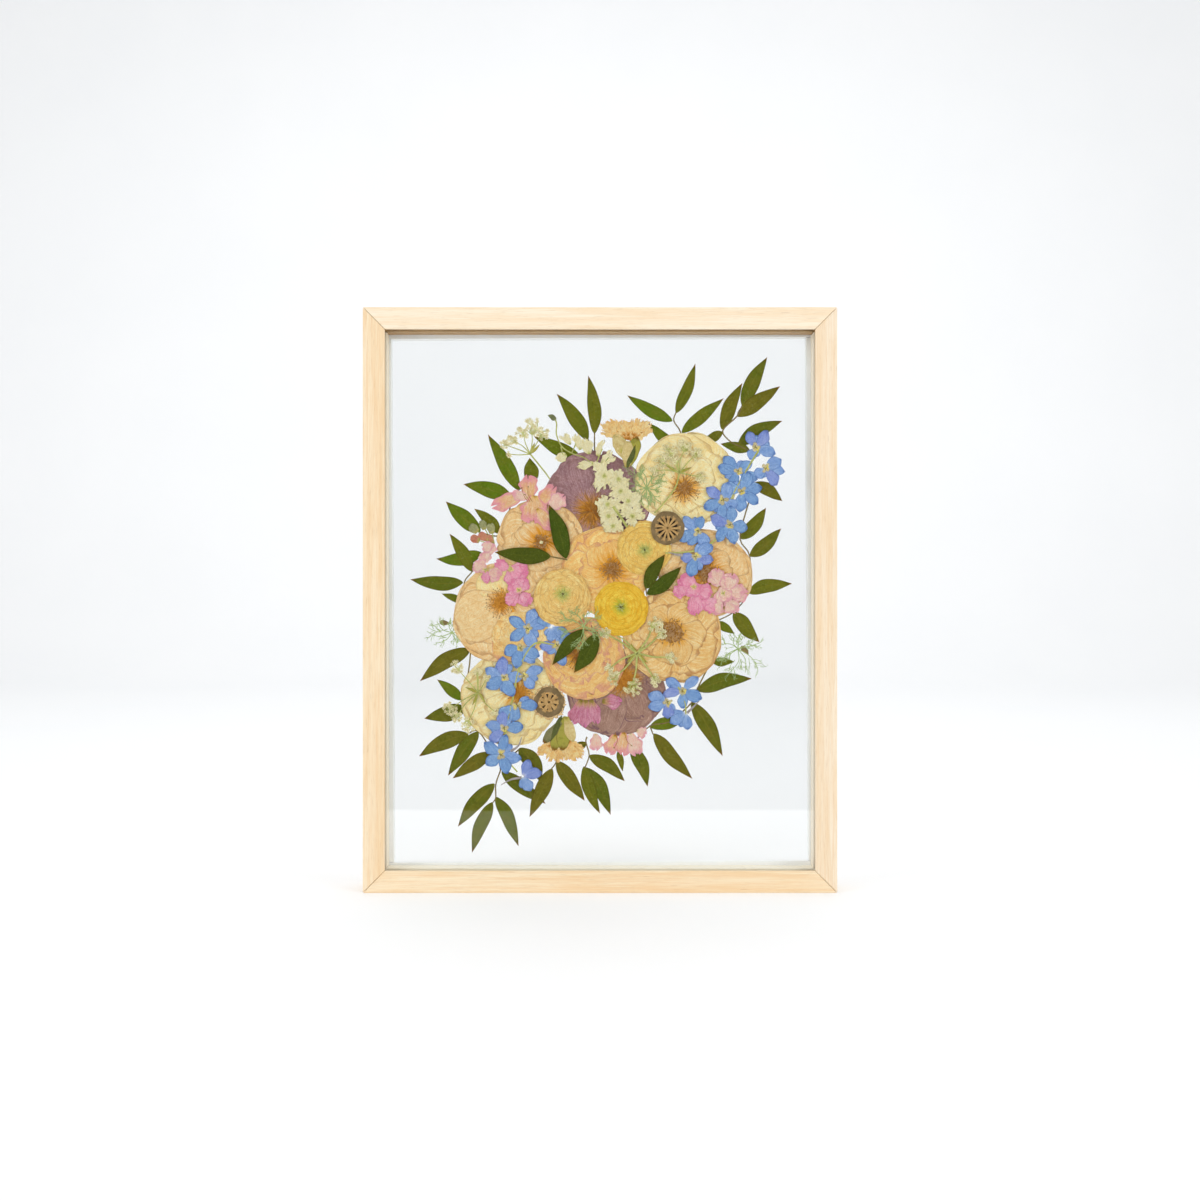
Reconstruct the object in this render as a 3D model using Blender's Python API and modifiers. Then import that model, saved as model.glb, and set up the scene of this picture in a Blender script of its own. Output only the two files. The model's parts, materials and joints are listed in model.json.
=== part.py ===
"""Pressed flower frame: a light wooden frame with a bouquet pressed between two panes of glass.

The frame stands on its bottom rail with its front facing -Y and its origin at the middle of
its foot. Flowers and leaves are thin plates, each in its own layer between the panes.
"""

import math

import bmesh
import bpy
from mathutils import Matrix, Vector

MM = 0.001
GAP = 0.3 * MM  # clearance between pieces that touch

# Moulding
SIGHT_WIDTH = 393.7 * MM
SIGHT_HEIGHT = 495.3 * MM
RAIL_FACE = 20.0 * MM
DEPTH = 35.0 * MM
LIP_COVER = 8.0 * MM  # how far the lip reaches in over the rabbet
LIP_THICKNESS = 3.0 * MM
EASED_EDGE = 0.5 * MM
CUT_REACH = 80.0 * MM  # size of the blocks that cut the mitres
OUTER_WIDTH = SIGHT_WIDTH + 2 * RAIL_FACE
OUTER_HEIGHT = SIGHT_HEIGHT + 2 * RAIL_FACE
FRONT = -DEPTH / 2
MIDDLE_Z = OUTER_HEIGHT / 2

# Glass and the layers of flowers between the panes
GLASS_WIDTH = 406.4 * MM
GLASS_HEIGHT = 508.0 * MM
GLASS_THICKNESS = 2.0 * MM
GLASS_EASED_EDGE = 0.3 * MM
LAYER_PITCH = 0.5 * MM  # a petal 0.2 mm thick and its clearance
LAYERS = 9
FRONT_PANE_Y = FRONT + LIP_THICKNESS + GAP
FIRST_LAYER_Y = FRONT_PANE_Y + GLASS_THICKNESS + GAP
BACK_PANE_Y = FIRST_LAYER_Y + LAYERS * LAYER_PITCH
FILLET_Y = BACK_PANE_Y + GLASS_THICKNESS + GAP

# Fillets and retaining strips behind the glass
RABBET_SIDE = LIP_COVER - GAP
STRIP_Y = 8.5 * MM
STRIP_THICKNESS = 8.0 * MM
STRIP_PROUD = 3.0 * MM  # how far a strip shows inside the sight edge
STRIP_TURN = math.radians(-0.3)  # the strips were set slightly askew
STRIP_PLAY = 1.5 * MM  # room round the strips, so that the turned ones clear the rabbet
BATTEN_EASED_EDGE = 0.4 * MM

# Leaves and petals: sizes in millimetres, since each plate is made at that scale and then reduced
PLATE = 0.2
LEAF_SECTIONS = 4
LEAF_RISE = 0.75  # how fast a leaf widens from its stalk
LEAF_FALL = 1.1  # and narrows to its tip
STALK_LENGTH = 2.0
STALK_WIDTH = 1.0
STEM_WIDTH = 1.1
DELPHINIUM_STEM_WIDTH = 2.0
RAY_WIDTH = 0.8
DISC_POINTS = 22
SMALL_DISC_POINTS = 9
HEAD_POINTS = 8
FLORET_POINTS = 20
PETALS = 5
FLORET_THROAT = 0.45  # radius at the notches between petals, as a share of the whole
FLORET_ROUNDNESS = 0.7
CROWN_RISE = 0.14  # how far a seed head's crown stands forward

# Joining of overlapping outlines
THINNING = 0.03
WELD = 0.001
NEAR = 0.05  # outline points closer than this are one
STRAIGHT = 0.02


def srgb(red, green, blue):
    """Turns 0-255 screen values into the linear colour that a shader takes."""
    values = [v / 255 for v in (red, green, blue)]
    return tuple(v / 12.92 if v <= 0.04045 else ((v + 0.055) / 1.055) ** 2.4 for v in values)


FINISHES = {
    "wood": (srgb(232, 204, 162), 0.55, 0.0),
    "pale_paint": (srgb(236, 236, 222), 0.6, 0.0),
    "glass": (srgb(244, 248, 250), 0.02, 0.0),
    "cream": (srgb(242, 221, 160), 0.75, 0.0),
    "tan": (srgb(228, 188, 124), 0.75, 0.0),
    "peach": (srgb(236, 194, 134), 0.75, 0.0),
    "orange": (srgb(226, 164, 88), 0.75, 0.0),
    "yellow": (srgb(238, 204, 62), 0.7, 0.0),
    "mauve": (srgb(156, 124, 124), 0.75, 0.0),
    "blue": (srgb(98, 146, 220), 0.65, 0.0),
    "pink": (srgb(236, 150, 186), 0.7, 0.0),
    "blush": (srgb(240, 190, 172), 0.7, 0.0),
    "seed_head": (srgb(138, 115, 80), 0.85, 0.0),
    "white_petal": (srgb(240, 233, 190), 0.75, 0.0),
    "leaf": (srgb(86, 106, 34), 0.5, 0.0),
    "umbel": (srgb(178, 172, 108), 0.7, 0.0),
}

# Blooms: middle x, z from the middle of the glass, half width, half height, lobes, layer, finish
BLOOMS = {
    "rose_mauve_top": (-4, 91, 49, 46, 5, 7, "mauve"),
    "rose_mauve_lower": (14, -85, 46, 41, 5, 7, "mauve"),
    "rose_cream_lower": (-83, -90, 45, 44, 5, 7, "cream"),
    "rose_tan_right": (97, 24, 44, 41, 6, 7, "tan"),
    "rose_cream_upper": (79, 111, 47, 43, 5, 6, "cream"),
    "rose_tan_upper": (-55, 52, 41, 41, 5, 6, "tan"),
    "rose_golden": (67, -33, 46, 44, 6, 6, "tan"),
    "rose_orange": (-73, -31, 27, 20, 4, 4, "orange"),
    "rose_tan_left": (-91, -13, 44, 46, 5, 5, "tan"),
    "rose_peach_centre": (6, 27, 41, 42, 5, 5, "peach"),
    "rose_peach_lower": (-14, -54, 38, 38, 5, 5, "peach"),
    "ranunculus_yellow": (19.5, -8, 26, 26, 3, 4, "yellow"),
    "ranunculus_cream": (40.5, 48, 26, 26, 3, 4, "cream"),
    "ranunculus_tan": (-35, 2, 27, 27, 3, 2, "tan"),
}
LOBE_DEPTH = 0.025

# Poppy seed heads: x, z, outer radius, radius of the star on top, layer
SEED_HEADS = {
    "seed_head_upper": (62, 66, 16, 11.5, 2),
    "seed_head_lower": (-47, -94, 14.5, 9.5, 6),
}
STAR_RAYS = 10
STAR_INNER = 0.35

# Leaf: stalk end, tip, width, sideways bow of the midrib (mm); then the stems that join them
RUSCUS = {
    "ruscus_top": (
        8,
        [
            ((-5, 153), (-11, 207), 12.5, -2.5),
            ((-11, 147), (-40, 190), 14, -2),
            ((-18, 132), (-61, 151), 13, 1.5),
        ],
        [[(-4, 126), (-5, 140), (-5, 154)], [(-5, 132), (-11, 148)], [(-4, 126), (-18, 132)]],
    ),
    "ruscus_top_right": (
        8,
        [
            ((67, 165), (25, 189), 12, 2),
            ((70, 172), (88, 218), 11, -1.5),
            ((75, 154), (114, 186), 12, 0),
            ((68, 141), (44, 163), 10, 0),
        ],
        [[(76, 140), (74, 155), (68, 165), (70, 173)], [(76, 140), (68, 141)]],
    ),
    "ruscus_upper_right": (
        8,
        [
            ((112, 157), (131, 200), 13, 1.5),
            ((131, 178), (154, 224), 14, 1.5),
            ((126, 169), (166, 197), 14, 0),
            ((127, 143), (168, 165), 14, 2.5),
            ((138, 138), (111, 144), 10, 0),
            ((113, 155), (93, 143), 9, 0),
        ],
        [[(131, 179), (126, 169), (113, 156), (120, 146), (128, 142), (139, 137)]],
    ),
    "ruscus_right": (
        8,
        [
            ((142, 108), (168, 91), 12, 1.5),
            ((130, 56), (153, 85), 13, -1.5),
            ((138, 40), (167, 66), 13, -1.5),
            ((136, 7), (177, 15), 13, 2.5),
            ((123, -11), (147, -39), 14, -1),
            ((107, -20), (124, -31), 8, 0),
        ],
        [[(143, 108), (134, 80), (129, 56), (138, 40), (136, 7), (123, -11), (106, -20)]],
    ),
    "ruscus_lower_right": (
        8,
        [
            ((103, -57), (124, -57), 8, 0),
            ((89, -83), (140, -72), 15, 3),
            ((84, -94), (113, -144), 15, 2),
            ((46, -117), (82, -108), 12, 0),
            ((49, -123), (85, -165), 14, -1),
            ((29, -133), (44, -172), 13, 2),
            ((17, -138), (21, -158), 6, 0),
        ],
        [
            [(102, -57), (89, -83), (84, -95), (64, -112), (46, -116), (29, -133), (17, -138)],
            [(46, -116), (49, -124)],
        ],
    ),
    "ruscus_bottom": (
        8,
        [
            ((-10, -143), (23, -167), 13, 2.5),
            ((-13, -154), (10, -198), 14, 2.5),
            ((-15, -153), (0, -197), 12, -2),
            ((-13, -131), (-26, -140), 8, 0),
        ],
        [[(-12, -126), (-13, -131), (-10, -143), (-14, -155)]],
    ),
    "ruscus_bottom_centre": (
        7,
        [((-40, -148), (-14, -185), 14, 0), ((-44, -155), (-65, -200), 14, 0)],
        [[(-42, -138), (-40, -148), (-45, -156)]],
    ),
    "ruscus_bottom_left": (
        8,
        [
            ((-97, -169), (-131, -209), 14, -2),
            ((-99, -186), (-118, -233), 12.5, -2),
            ((-96, -181), (-75, -227), 12.5, 2),
            ((-91, -158), (-50, -188), 13, 0),
            ((-74, -136), (-54, -168), 16, 3),
        ],
        [[(-74, -137), (-90, -152), (-92, -158), (-96, -170), (-96, -182), (-99, -187)]],
    ),
    "ruscus_lower_left": (
        8,
        [
            ((-121, -123), (-167, -144), 15, -2.5),
            ((-112, -121), (-140, -162), 14, -1),
            ((-100, -140), (-136, -164), 13, 0),
        ],
        [[(-122, -123), (-112, -121), (-99, -140)]],
    ),
    "ruscus_left": (
        8,
        [
            ((-123, -99), (-162, -109), 15, 1),
            ((-126, -92), (-150, -73), 10, 0),
            ((-119, -45), (-166, -75), 15, -3),
            ((-124, -2), (-146, 6), 7, 0),
            ((-126, 16), (-175, 19), 13.5, 2),
            ((-108, 43), (-151, 38), 13, 3),
            ((-118, 26), (-139, 61), 12, -2),
        ],
        [[(-122, -99), (-125, -92), (-119, -46), (-123, -2), (-125, 16), (-117, 27), (-107, 43)]],
    ),
    "ruscus_upper_left": (
        8,
        [
            ((-110, 63), (-142, 91), 15, 1),
            ((-92, 61), (-116, 84), 11, -2),
            ((-81, 95), (-126, 107), 15, -1),
            ((-74, 101), (-103, 153), 14, 0),
            ((-62, 108), (-65, 131), 14, 0),
        ],
        [[(-111, 62), (-91, 61), (-80, 95), (-74, 102), (-62, 109)]],
    ),
    "ruscus_pair_upper": (
        2,
        [((-31, 38), (-47, 88), 16, -1.5), ((-45, 40), (-97, 44), 15.5, 1)],
        [[(-30, 37), (-46, 40)]],
    ),
    "ruscus_pair_right": (
        2,
        [((42, 10), (60, 42), 12.5, 2), ((43, 5), (75, 31), 13, -2)],
        [[(42, 11), (43, 4)]],
    ),
    "ruscus_pair_lower": (
        2,
        [((-3, -31), (-24, -67), 16, 2), ((-15, -27), (-44, -60), 13, -1)],
        [[(-2, -30), (-16, -27)]],
    ),
}

# Delphinium florets: x, z, radius, turn in degrees; and the stem through them
DELPHINIUM = {
    "delphinium_upper_right": (
        3,
        [
            (127, 118, 15, 20),
            (146, 138, 14, 70),
            (152, 120, 14, 10),
            (130, 100, 15, 40),
            (113, 91, 15, 5),
            (119, 69, 15, 30),
            (90, 62, 14, 55),
            (88, 41, 14, 15),
        ],
        [(146, 138), (127, 118), (113, 91), (119, 69), (90, 62), (88, 41)],
    ),
    "delphinium_lower_left": (
        3,
        [
            (-67, -26, 13, 10),
            (-39, -42, 13, 50),
            (-72, -45, 12, 30),
            (-70, -70, 13, 65),
            (-90, -71, 15, 20),
            (-76, -97, 14, 40),
            (-88, -118, 15, 0),
            (-91, -142, 15, 25),
            (-70, -162, 12, 50),
        ],
        [
            (-39, -42),
            (-67, -26),
            (-72, -45),
            (-70, -70),
            (-90, -71),
            (-76, -97),
            (-88, -118),
            (-91, -142),
            (-70, -162),
        ],
    ),
    "delphinium_lower_right": (
        4,
        [(76, -84, 16, 15), (62, -94, 12, 45), (76, -108, 10, 20)],
        [(76, -84), (62, -94), (76, -108)],
    ),
}

# Clusters of small round petals: x, z, half width, half height
CLUSTERS = {
    "pink_cluster_left": (
        3,
        "pink",
        [(-102, 47, 6, 6), (-105, 39, 5, 5), (-110, 30, 7, 6), (-97, 24, 6, 6), (-105, 22, 4, 7),
         (-90, 32, 9, 5), (-83, 20, 6, 5), (-74, 28, 9, 8), (-72, 14, 7, 9), (-80, 1, 6, 6), (-69, 0, 6, 7)],
    ),
    "pink_cluster_right": (
        4,
        "pink",
        [(80, 16, 9, 8), (87, 10, 9, 8), (74, 8, 6, 7), (96, 8, 8, 8), (88, -4, 12, 7), (107, 20, 9, 8),
         (118, 17, 9, 8), (127, 6, 11, 9), (113, 4, 12, 10), (108, -7, 9, 6), (121, -7, 8, 6)],
    ),
    "alstroemeria_upper": (
        4,
        "blush",
        [(-84, 91, 12, 8), (-64, 103, 8, 10), (-61, 85, 15, 12), (-41, 89, 9, 12), (-54, 76, 10, 8)],
    ),
    "alstroemeria_pink": (
        6,
        "pink",
        [(-22, -106, 8, 10), (-12, -107, 8, 11), (-4, -101, 8, 9), (8, -95, 10, 6)],
    ),
    "alstroemeria_pale": (
        6,
        "blush",
        [(-3, -132, 8, 8), (12, -131, 8, 8), (22, -133, 12, 9), (33, -133, 9, 10)],
    ),
    "bud_cluster": (
        7,
        "seed_head",
        [(-116, 66, 5, 6), (-108, 69, 6, 5), (-100, 66, 5, 6), (-115, 56, 6, 5), (-107, 59, 6, 6),
         (-101, 56, 4, 5)],
    ),
    "larkspur_white": (
        3,
        "white_petal",
        [(-12, 123, 7, 6), (4, 113, 12, 11), (19, 108, 9, 9), (5, 97, 11, 10), (24, 91, 11, 10),
         (8, 79, 11, 9), (28, 77, 9, 8), (-21, 144, 8, 5), (-30, 148, 7, 4), (2, 139, 4, 7),
         (8, 131, 7, 4)],
    ),
}
LARKSPUR_STEMS = [
    [(-44, 169), (-40, 163), (-40, 152), (-35, 141), (-26, 135), (-15, 131), (-8, 126), (0, 122)],
    [(-22, 144), (-26, 135)],
    [(-30, 148), (-22, 144)],
    [(2, 139), (-4, 123)],
    [(8, 131), (0, 120)],
]

# Umbels: middle, heads at the ends of the rays (x, z, radius), and the stem
UMBELS = {
    "umbel_top_left": (
        3,
        (-64, 134),
        [(-62, 158, 9), (-76, 149, 5), (-86, 145, 4), (-84, 135, 3)],
        [(-64, 134), (-51, 118), (-46, 111)],
    ),
    "umbel_top_right": (
        3,
        (73, 117),
        [(64, 136, 8), (78, 141, 7), (88, 134, 6), (56, 128, 5), (90, 113, 4)],
        [(73, 117), (69, 103), (56, 86), (50, 80)],
    ),
    "umbel_centre": (
        4,
        (34, -49),
        [(50, -23, 7), (54, -31, 4), (65, -53, 6), (51, -74, 6), (30, -80, 7), (13, -72, 5), (9, -63, 4)],
        [(34, -49), (24, -40)],
    ),
    "umbel_left": (
        3,
        (-112, -85),
        [(-132, -62, 6), (-138, -100, 6), (-133, -106, 5), (-122, -115, 7), (-97, -102, 2)],
        [(-112, -85), (-113, -66)],
    ),
}

# Carnations: middle of the ruffle, its half width and half height, direction of the stalk (+1 up)
CARNATIONS = {"carnation_top": (24, 156, 23, 8.5, -1), "carnation_bottom": (-37, -141, 21, 8, 1)}
CARNATION_LAYER = 4
CARNATION_TEETH = 17
CARNATION_TOOTH = 0.08
CARNATION_SPREAD = 1.3  # share of a half turn that the ruffle fans over
CALYX_LENGTH = 30
CALYX_WIDTH = 15
CALYX_FOOT = 4
CALYX_START = 0.2


def collection(name):
    """Returns a new collection linked to the scene."""
    made = bpy.data.collections.new(name)
    bpy.context.scene.collection.children.link(made)
    return made


def material(finish):
    """Returns the Principled material of a named finish, made once."""
    if finish in bpy.data.materials:
        return bpy.data.materials[finish]
    colour, roughness, metallic = FINISHES[finish]
    made = bpy.data.materials.new(finish)
    made.use_nodes = True
    shader = made.node_tree.nodes["Principled BSDF"]
    shader.inputs["Base Color"].default_value = (*colour, 1)
    shader.inputs["Roughness"].default_value = roughness
    shader.inputs["Metallic"].default_value = metallic
    if finish == "glass":
        shader.inputs["Transmission Weight"].default_value = 1
    made.diffuse_color = (*colour, 1)
    return made


def box(name, low, high, finish, place):
    """A rectangular block between two corners, from the cube primitive."""
    bpy.ops.mesh.primitive_cube_add(size=1)
    made = bpy.context.object
    made.name = made.data.name = name
    for owner in made.users_collection:
        owner.objects.unlink(made)
    place.objects.link(made)
    low, high = Vector(low), Vector(high)
    made.location = (low + high) / 2
    made.data.transform(Matrix.Diagonal((*(high - low), 1)))
    if finish:
        made.data.materials.append(material(finish))
    else:
        made.hide_render = True
        made.display_type = "WIRE"
    return made


def cut(target, cutter):
    """Takes a cutter away from a piece."""
    modifier = target.modifiers.new("cut " + cutter.name, "BOOLEAN")
    modifier.operation = "DIFFERENCE"
    modifier.solver = "EXACT"
    modifier.object = cutter


def ease(target, width):
    """Takes the sharpness off a piece's edges."""
    modifier = target.modifiers.new("eased edges", "BEVEL")
    modifier.width = width
    modifier.segments = 1
    modifier.limit_method = "ANGLE"


def mitre_cutter(name, side_x, side_z, across, cutters):
    """A block that takes away what lies past the 45 degree line at one corner of a rail."""
    corner = Vector((side_x * OUTER_WIDTH / 2, 0, MIDDLE_Z + side_z * OUTER_HEIGHT / 2))
    outward = Vector((side_x, 0, -side_z)) if across else Vector((-side_x, 0, side_z))
    reach = Vector((CUT_REACH, DEPTH, CUT_REACH / 2))
    blade = box(name, -reach, reach, None, cutters)
    blade.rotation_euler = (0, math.atan2(outward.x, outward.z), 0)
    blade.location = corner + outward.normalized() * (CUT_REACH - GAP) / 2
    return blade


def frame_rails(parts, cutters):
    """Four mitred rails, each cut from a block that runs corner to corner."""
    half_w, half_h = OUTER_WIDTH / 2, OUTER_HEIGHT / 2
    sight_w, sight_h = SIGHT_WIDTH / 2, SIGHT_HEIGHT / 2
    rabbet = box(
        "rabbet cutter",
        (-sight_w - LIP_COVER, FRONT + LIP_THICKNESS, MIDDLE_Z - sight_h - LIP_COVER),
        (sight_w + LIP_COVER, DEPTH, MIDDLE_Z + sight_h + LIP_COVER),
        None,
        cutters,
    )
    for name, across, side in (
        ("rail_top", True, 1),
        ("rail_bottom", True, -1),
        ("rail_left", False, -1),
        ("rail_right", False, 1),
    ):
        if across:
            near, far = sorted((side * sight_h, side * half_h))
            low, high = (-half_w, FRONT, MIDDLE_Z + near), (half_w, -FRONT, MIDDLE_Z + far)
        else:
            near, far = sorted((side * sight_w, side * half_w))
            low, high = (near, FRONT, MIDDLE_Z - half_h), (far, -FRONT, MIDDLE_Z + half_h)
        rail = box(name, low, high, "wood", parts)
        cut(rail, rabbet)
        for end in (-1, 1):
            side_x, side_z = (end, side) if across else (side, end)
            cut(rail, mitre_cutter(f"{name} mitre {end}", side_x, side_z, across, cutters))
        ease(rail, EASED_EDGE)


def panes(parts):
    """The two panes that hold the flowers between them."""
    half_w, half_h = GLASS_WIDTH / 2, GLASS_HEIGHT / 2
    for name, front in (("glass_front", FRONT_PANE_Y), ("glass_back", BACK_PANE_Y)):
        low = (-half_w, front, MIDDLE_Z - half_h)
        high = (half_w, front + GLASS_THICKNESS, MIDDLE_Z + half_h)
        ease(box(name, low, high, "glass", parts), GLASS_EASED_EDGE)


def border(stem, inner_w, inner_h, side, low_y, high_y, finish, turn, parts):
    """Four battens round an opening: top and bottom run through, the sides fit between."""
    outer_w, outer_h = inner_w + side, inner_h + side
    for name, low, high in (
        ("top", (-outer_w, inner_h), (outer_w, outer_h)),
        ("bottom", (-outer_w, -outer_h), (outer_w, -inner_h)),
        ("left", (-outer_w, -inner_h + GAP), (-inner_w, inner_h - GAP)),
        ("right", (inner_w, -inner_h + GAP), (outer_w, inner_h - GAP)),
    ):
        batten = box(f"{stem}_{name}", (low[0], low_y, low[1]), (high[0], high_y, high[1]), finish, parts)
        batten.location = Matrix.Rotation(turn, 4, "Y") @ batten.location
        batten.location.z += MIDDLE_Z
        batten.rotation_euler = (0, turn, 0)
        ease(batten, BATTEN_EASED_EDGE)


def flat_mesh(name, outlines, thickness=PLATE):
    """A petal-thin plate from its outlines, in millimetres, upright in the XZ plane."""
    curve = bpy.data.curves.new(name, "CURVE")
    curve.dimensions = "2D"
    curve.fill_mode = "BOTH"
    curve.extrude = thickness / 2
    for outline in outlines:
        spline = curve.splines.new("POLY")
        spline.points.add(len(outline) - 1)
        for point, (x, z) in zip(spline.points, outline):
            point.co = (x, z, 0, 1)
        spline.use_cyclic_u = True
    holder = bpy.data.objects.new(name, curve)
    bpy.context.scene.collection.objects.link(holder)
    graph = bpy.context.evaluated_depsgraph_get()
    mesh = bpy.data.meshes.new_from_object(holder.evaluated_get(graph), depsgraph=graph)
    bpy.data.objects.remove(holder)
    bpy.data.curves.remove(curve)
    work = bmesh.new()
    work.from_mesh(mesh)
    bmesh.ops.remove_doubles(work, verts=work.verts, dist=WELD)
    bmesh.ops.rotate(work, verts=work.verts, matrix=Matrix.Rotation(math.pi / 2, 3, "X"))
    bmesh.ops.recalc_face_normals(work, faces=work.faces)
    work.to_mesh(mesh)
    work.free()
    return mesh


def join(plates):
    """Returns one closed mesh from overlapping plates."""
    objects = []
    for number, plate in enumerate(plates):
        made = bpy.data.objects.new(f"plate {number}", plate)
        bpy.context.scene.collection.objects.link(made)
        objects.append(made)
    body = objects[0]
    for other in objects[1:]:
        modifier = body.modifiers.new("join", "BOOLEAN")
        modifier.operation = "UNION"
        modifier.solver = "EXACT"
        modifier.object = other
    graph = bpy.context.evaluated_depsgraph_get()
    mesh = bpy.data.meshes.new_from_object(body.evaluated_get(graph), depsgraph=graph)
    for used in objects:
        bpy.data.objects.remove(used)
    return mesh


def shared_outlines(outlines):
    """Returns the outlines of what overlapping outlines cover together.

    The plates are joined with a hair less thickness each, so that no two faces coincide, and
    the outline is read where the middle plane cuts them.
    """
    if len(outlines) == 1:
        return outlines
    plates = []
    for number, outline in enumerate(outlines):
        plates.append(flat_mesh("plate", [outline], 1 - THINNING * number))
    work = bmesh.new()
    work.from_mesh(join(plates))
    everything = [*work.verts, *work.edges, *work.faces]
    bmesh.ops.bisect_plane(
        work, geom=everything, plane_no=(0, 1, 0), clear_inner=True, clear_outer=True, dist=WELD / 10
    )
    bmesh.ops.remove_doubles(work, verts=work.verts, dist=NEAR)
    loops = []
    unused = {edge for edge in work.edges if edge.is_valid}
    while unused:
        edge = unused.pop()
        first, here = edge.verts
        loop = [first, here]
        while here is not first:
            following = next((e for e in here.link_edges if e in unused), None)
            if following is None:
                break
            unused.remove(following)
            here = following.other_vert(here)
            loop.append(here)
        points = [(v.co.x, v.co.z) for v in loop[:-1]]
        if len(points) > 2:
            loops.append(without_straight_points(points))
    work.free()
    return loops


def without_straight_points(points):
    """Drops the points of an outline that lie on a straight run."""
    kept = []
    for number, point in enumerate(points):
        before = Vector(points[number - 1])
        here = Vector(point)
        after = Vector(points[(number + 1) % len(points)])
        if abs((here - before).normalized().cross((after - here).normalized())) > STRAIGHT:
            kept.append(point)
    return kept


def pressed(name, layer, outlines, finish, parts, crown=None):
    """One pressed piece in its layer: its outlines joined into a single plate."""
    plate = flat_mesh(name, shared_outlines(outlines))
    if crown:
        top = flat_mesh(name, [crown])
        top.transform(Matrix.Translation((0, -CROWN_RISE, 0)))
        plate = join([plate, top])
    plate.transform(Matrix.Scale(MM, 4))
    plate.materials.clear()
    plate.materials.append(material(finish))
    piece = bpy.data.objects.new(name, plate)
    piece.location = (0, FIRST_LAYER_Y + layer * LAYER_PITCH - LAYER_PITCH / 2, MIDDLE_Z)
    parts.objects.link(piece)
    return piece


def disc(x, z, half_width, half_height, points=DISC_POINTS, lobes=0):
    """Outline of a round bloom or petal, whose edge swells in a few lobes where it has them."""
    outline = []
    for step in range(points):
        angle = 2 * math.pi * step / points
        swell = 1 + LOBE_DEPTH * math.cos(lobes * angle + x) if lobes else 1
        outline.append((x + half_width * swell * math.cos(angle), z + half_height * swell * math.sin(angle)))
    return outline


def star(x, z, radius, inner, rays):
    """Outline with pointed rays, such as a seed head's crown."""
    outline = []
    for step in range(2 * rays):
        angle = math.pi * step / rays
        reach = radius * (1 if step % 2 == 0 else inner)
        outline.append((x + reach * math.cos(angle), z + reach * math.sin(angle)))
    return outline


def floret(x, z, radius, turn):
    """Outline of a five-petalled floret, its notches where the wave is lowest."""
    outline = []
    for step in range(FLORET_POINTS):
        angle = 2 * math.pi * step / FLORET_POINTS
        wave = abs(math.cos(PETALS / 2 * angle)) ** FLORET_ROUNDNESS
        reach = radius * (FLORET_THROAT + (1 - FLORET_THROAT) * wave)
        turned = angle + math.radians(turn)
        outline.append((x + reach * math.cos(turned), z + reach * math.sin(turned)))
    return outline


def leaf(base, tip, width, bow):
    """Outline of a ruscus leaf: widest below its middle, drawn out to a point."""
    base, tip = Vector(base), Vector(tip)
    along = tip - base
    aside = Vector((-along.y, along.x)).normalized()
    peak = LEAF_RISE / (LEAF_RISE + LEAF_FALL)
    full = peak**LEAF_RISE * (1 - peak) ** LEAF_FALL
    left, right = [], []
    for section in range(1, LEAF_SECTIONS + 1):
        t = section / (LEAF_SECTIONS + 1)
        half = width / 2 * t**LEAF_RISE * (1 - t) ** LEAF_FALL / full
        middle = base + along * t + aside * bow * math.sin(math.pi * t)
        left.append(tuple(middle + aside * half))
        right.append(tuple(middle - aside * half))
    stalk = base - along.normalized() * STALK_LENGTH
    foot = aside * STALK_WIDTH / 2
    return [tuple(stalk + foot), tuple(stalk - foot), *right, tuple(tip), *reversed(left)]


def stem(route, width):
    """Outline of a stem of even width along a route."""
    points = [Vector(p) for p in route]
    left, right = [], []
    for number, point in enumerate(points):
        before = points[max(number - 1, 0)]
        after = points[min(number + 1, len(points) - 1)]
        along = (after - before).normalized()
        aside = Vector((-along.y, along.x)) * width / 2
        reach = along * width / 2 * ((number == len(points) - 1) - (number == 0))
        left.append(tuple(point + aside + reach))
        right.append(tuple(point - aside + reach))
    return [*right, *reversed(left)]


def carnation(x, z, half_width, half_height, stalk):
    """Ruffled fan of a carnation with its tapering calyx."""
    fan = []
    for step in range(CARNATION_TEETH):
        turn = CARNATION_SPREAD * step / (CARNATION_TEETH - 1) - (CARNATION_SPREAD - 1) / 2
        reach = 1 + CARNATION_TOOTH * (-1) ** step
        across = half_width * reach * math.cos(math.pi * turn)
        fan.append((x + across, z - stalk * half_height * reach * math.sin(math.pi * turn)))
    near, far = z + stalk * half_height * CALYX_START, z + stalk * CALYX_LENGTH
    calyx = [(x - CALYX_WIDTH, near), (x - CALYX_FOOT, far), (x + CALYX_FOOT, far), (x + CALYX_WIDTH, near)]
    return [fan, calyx]


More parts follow.
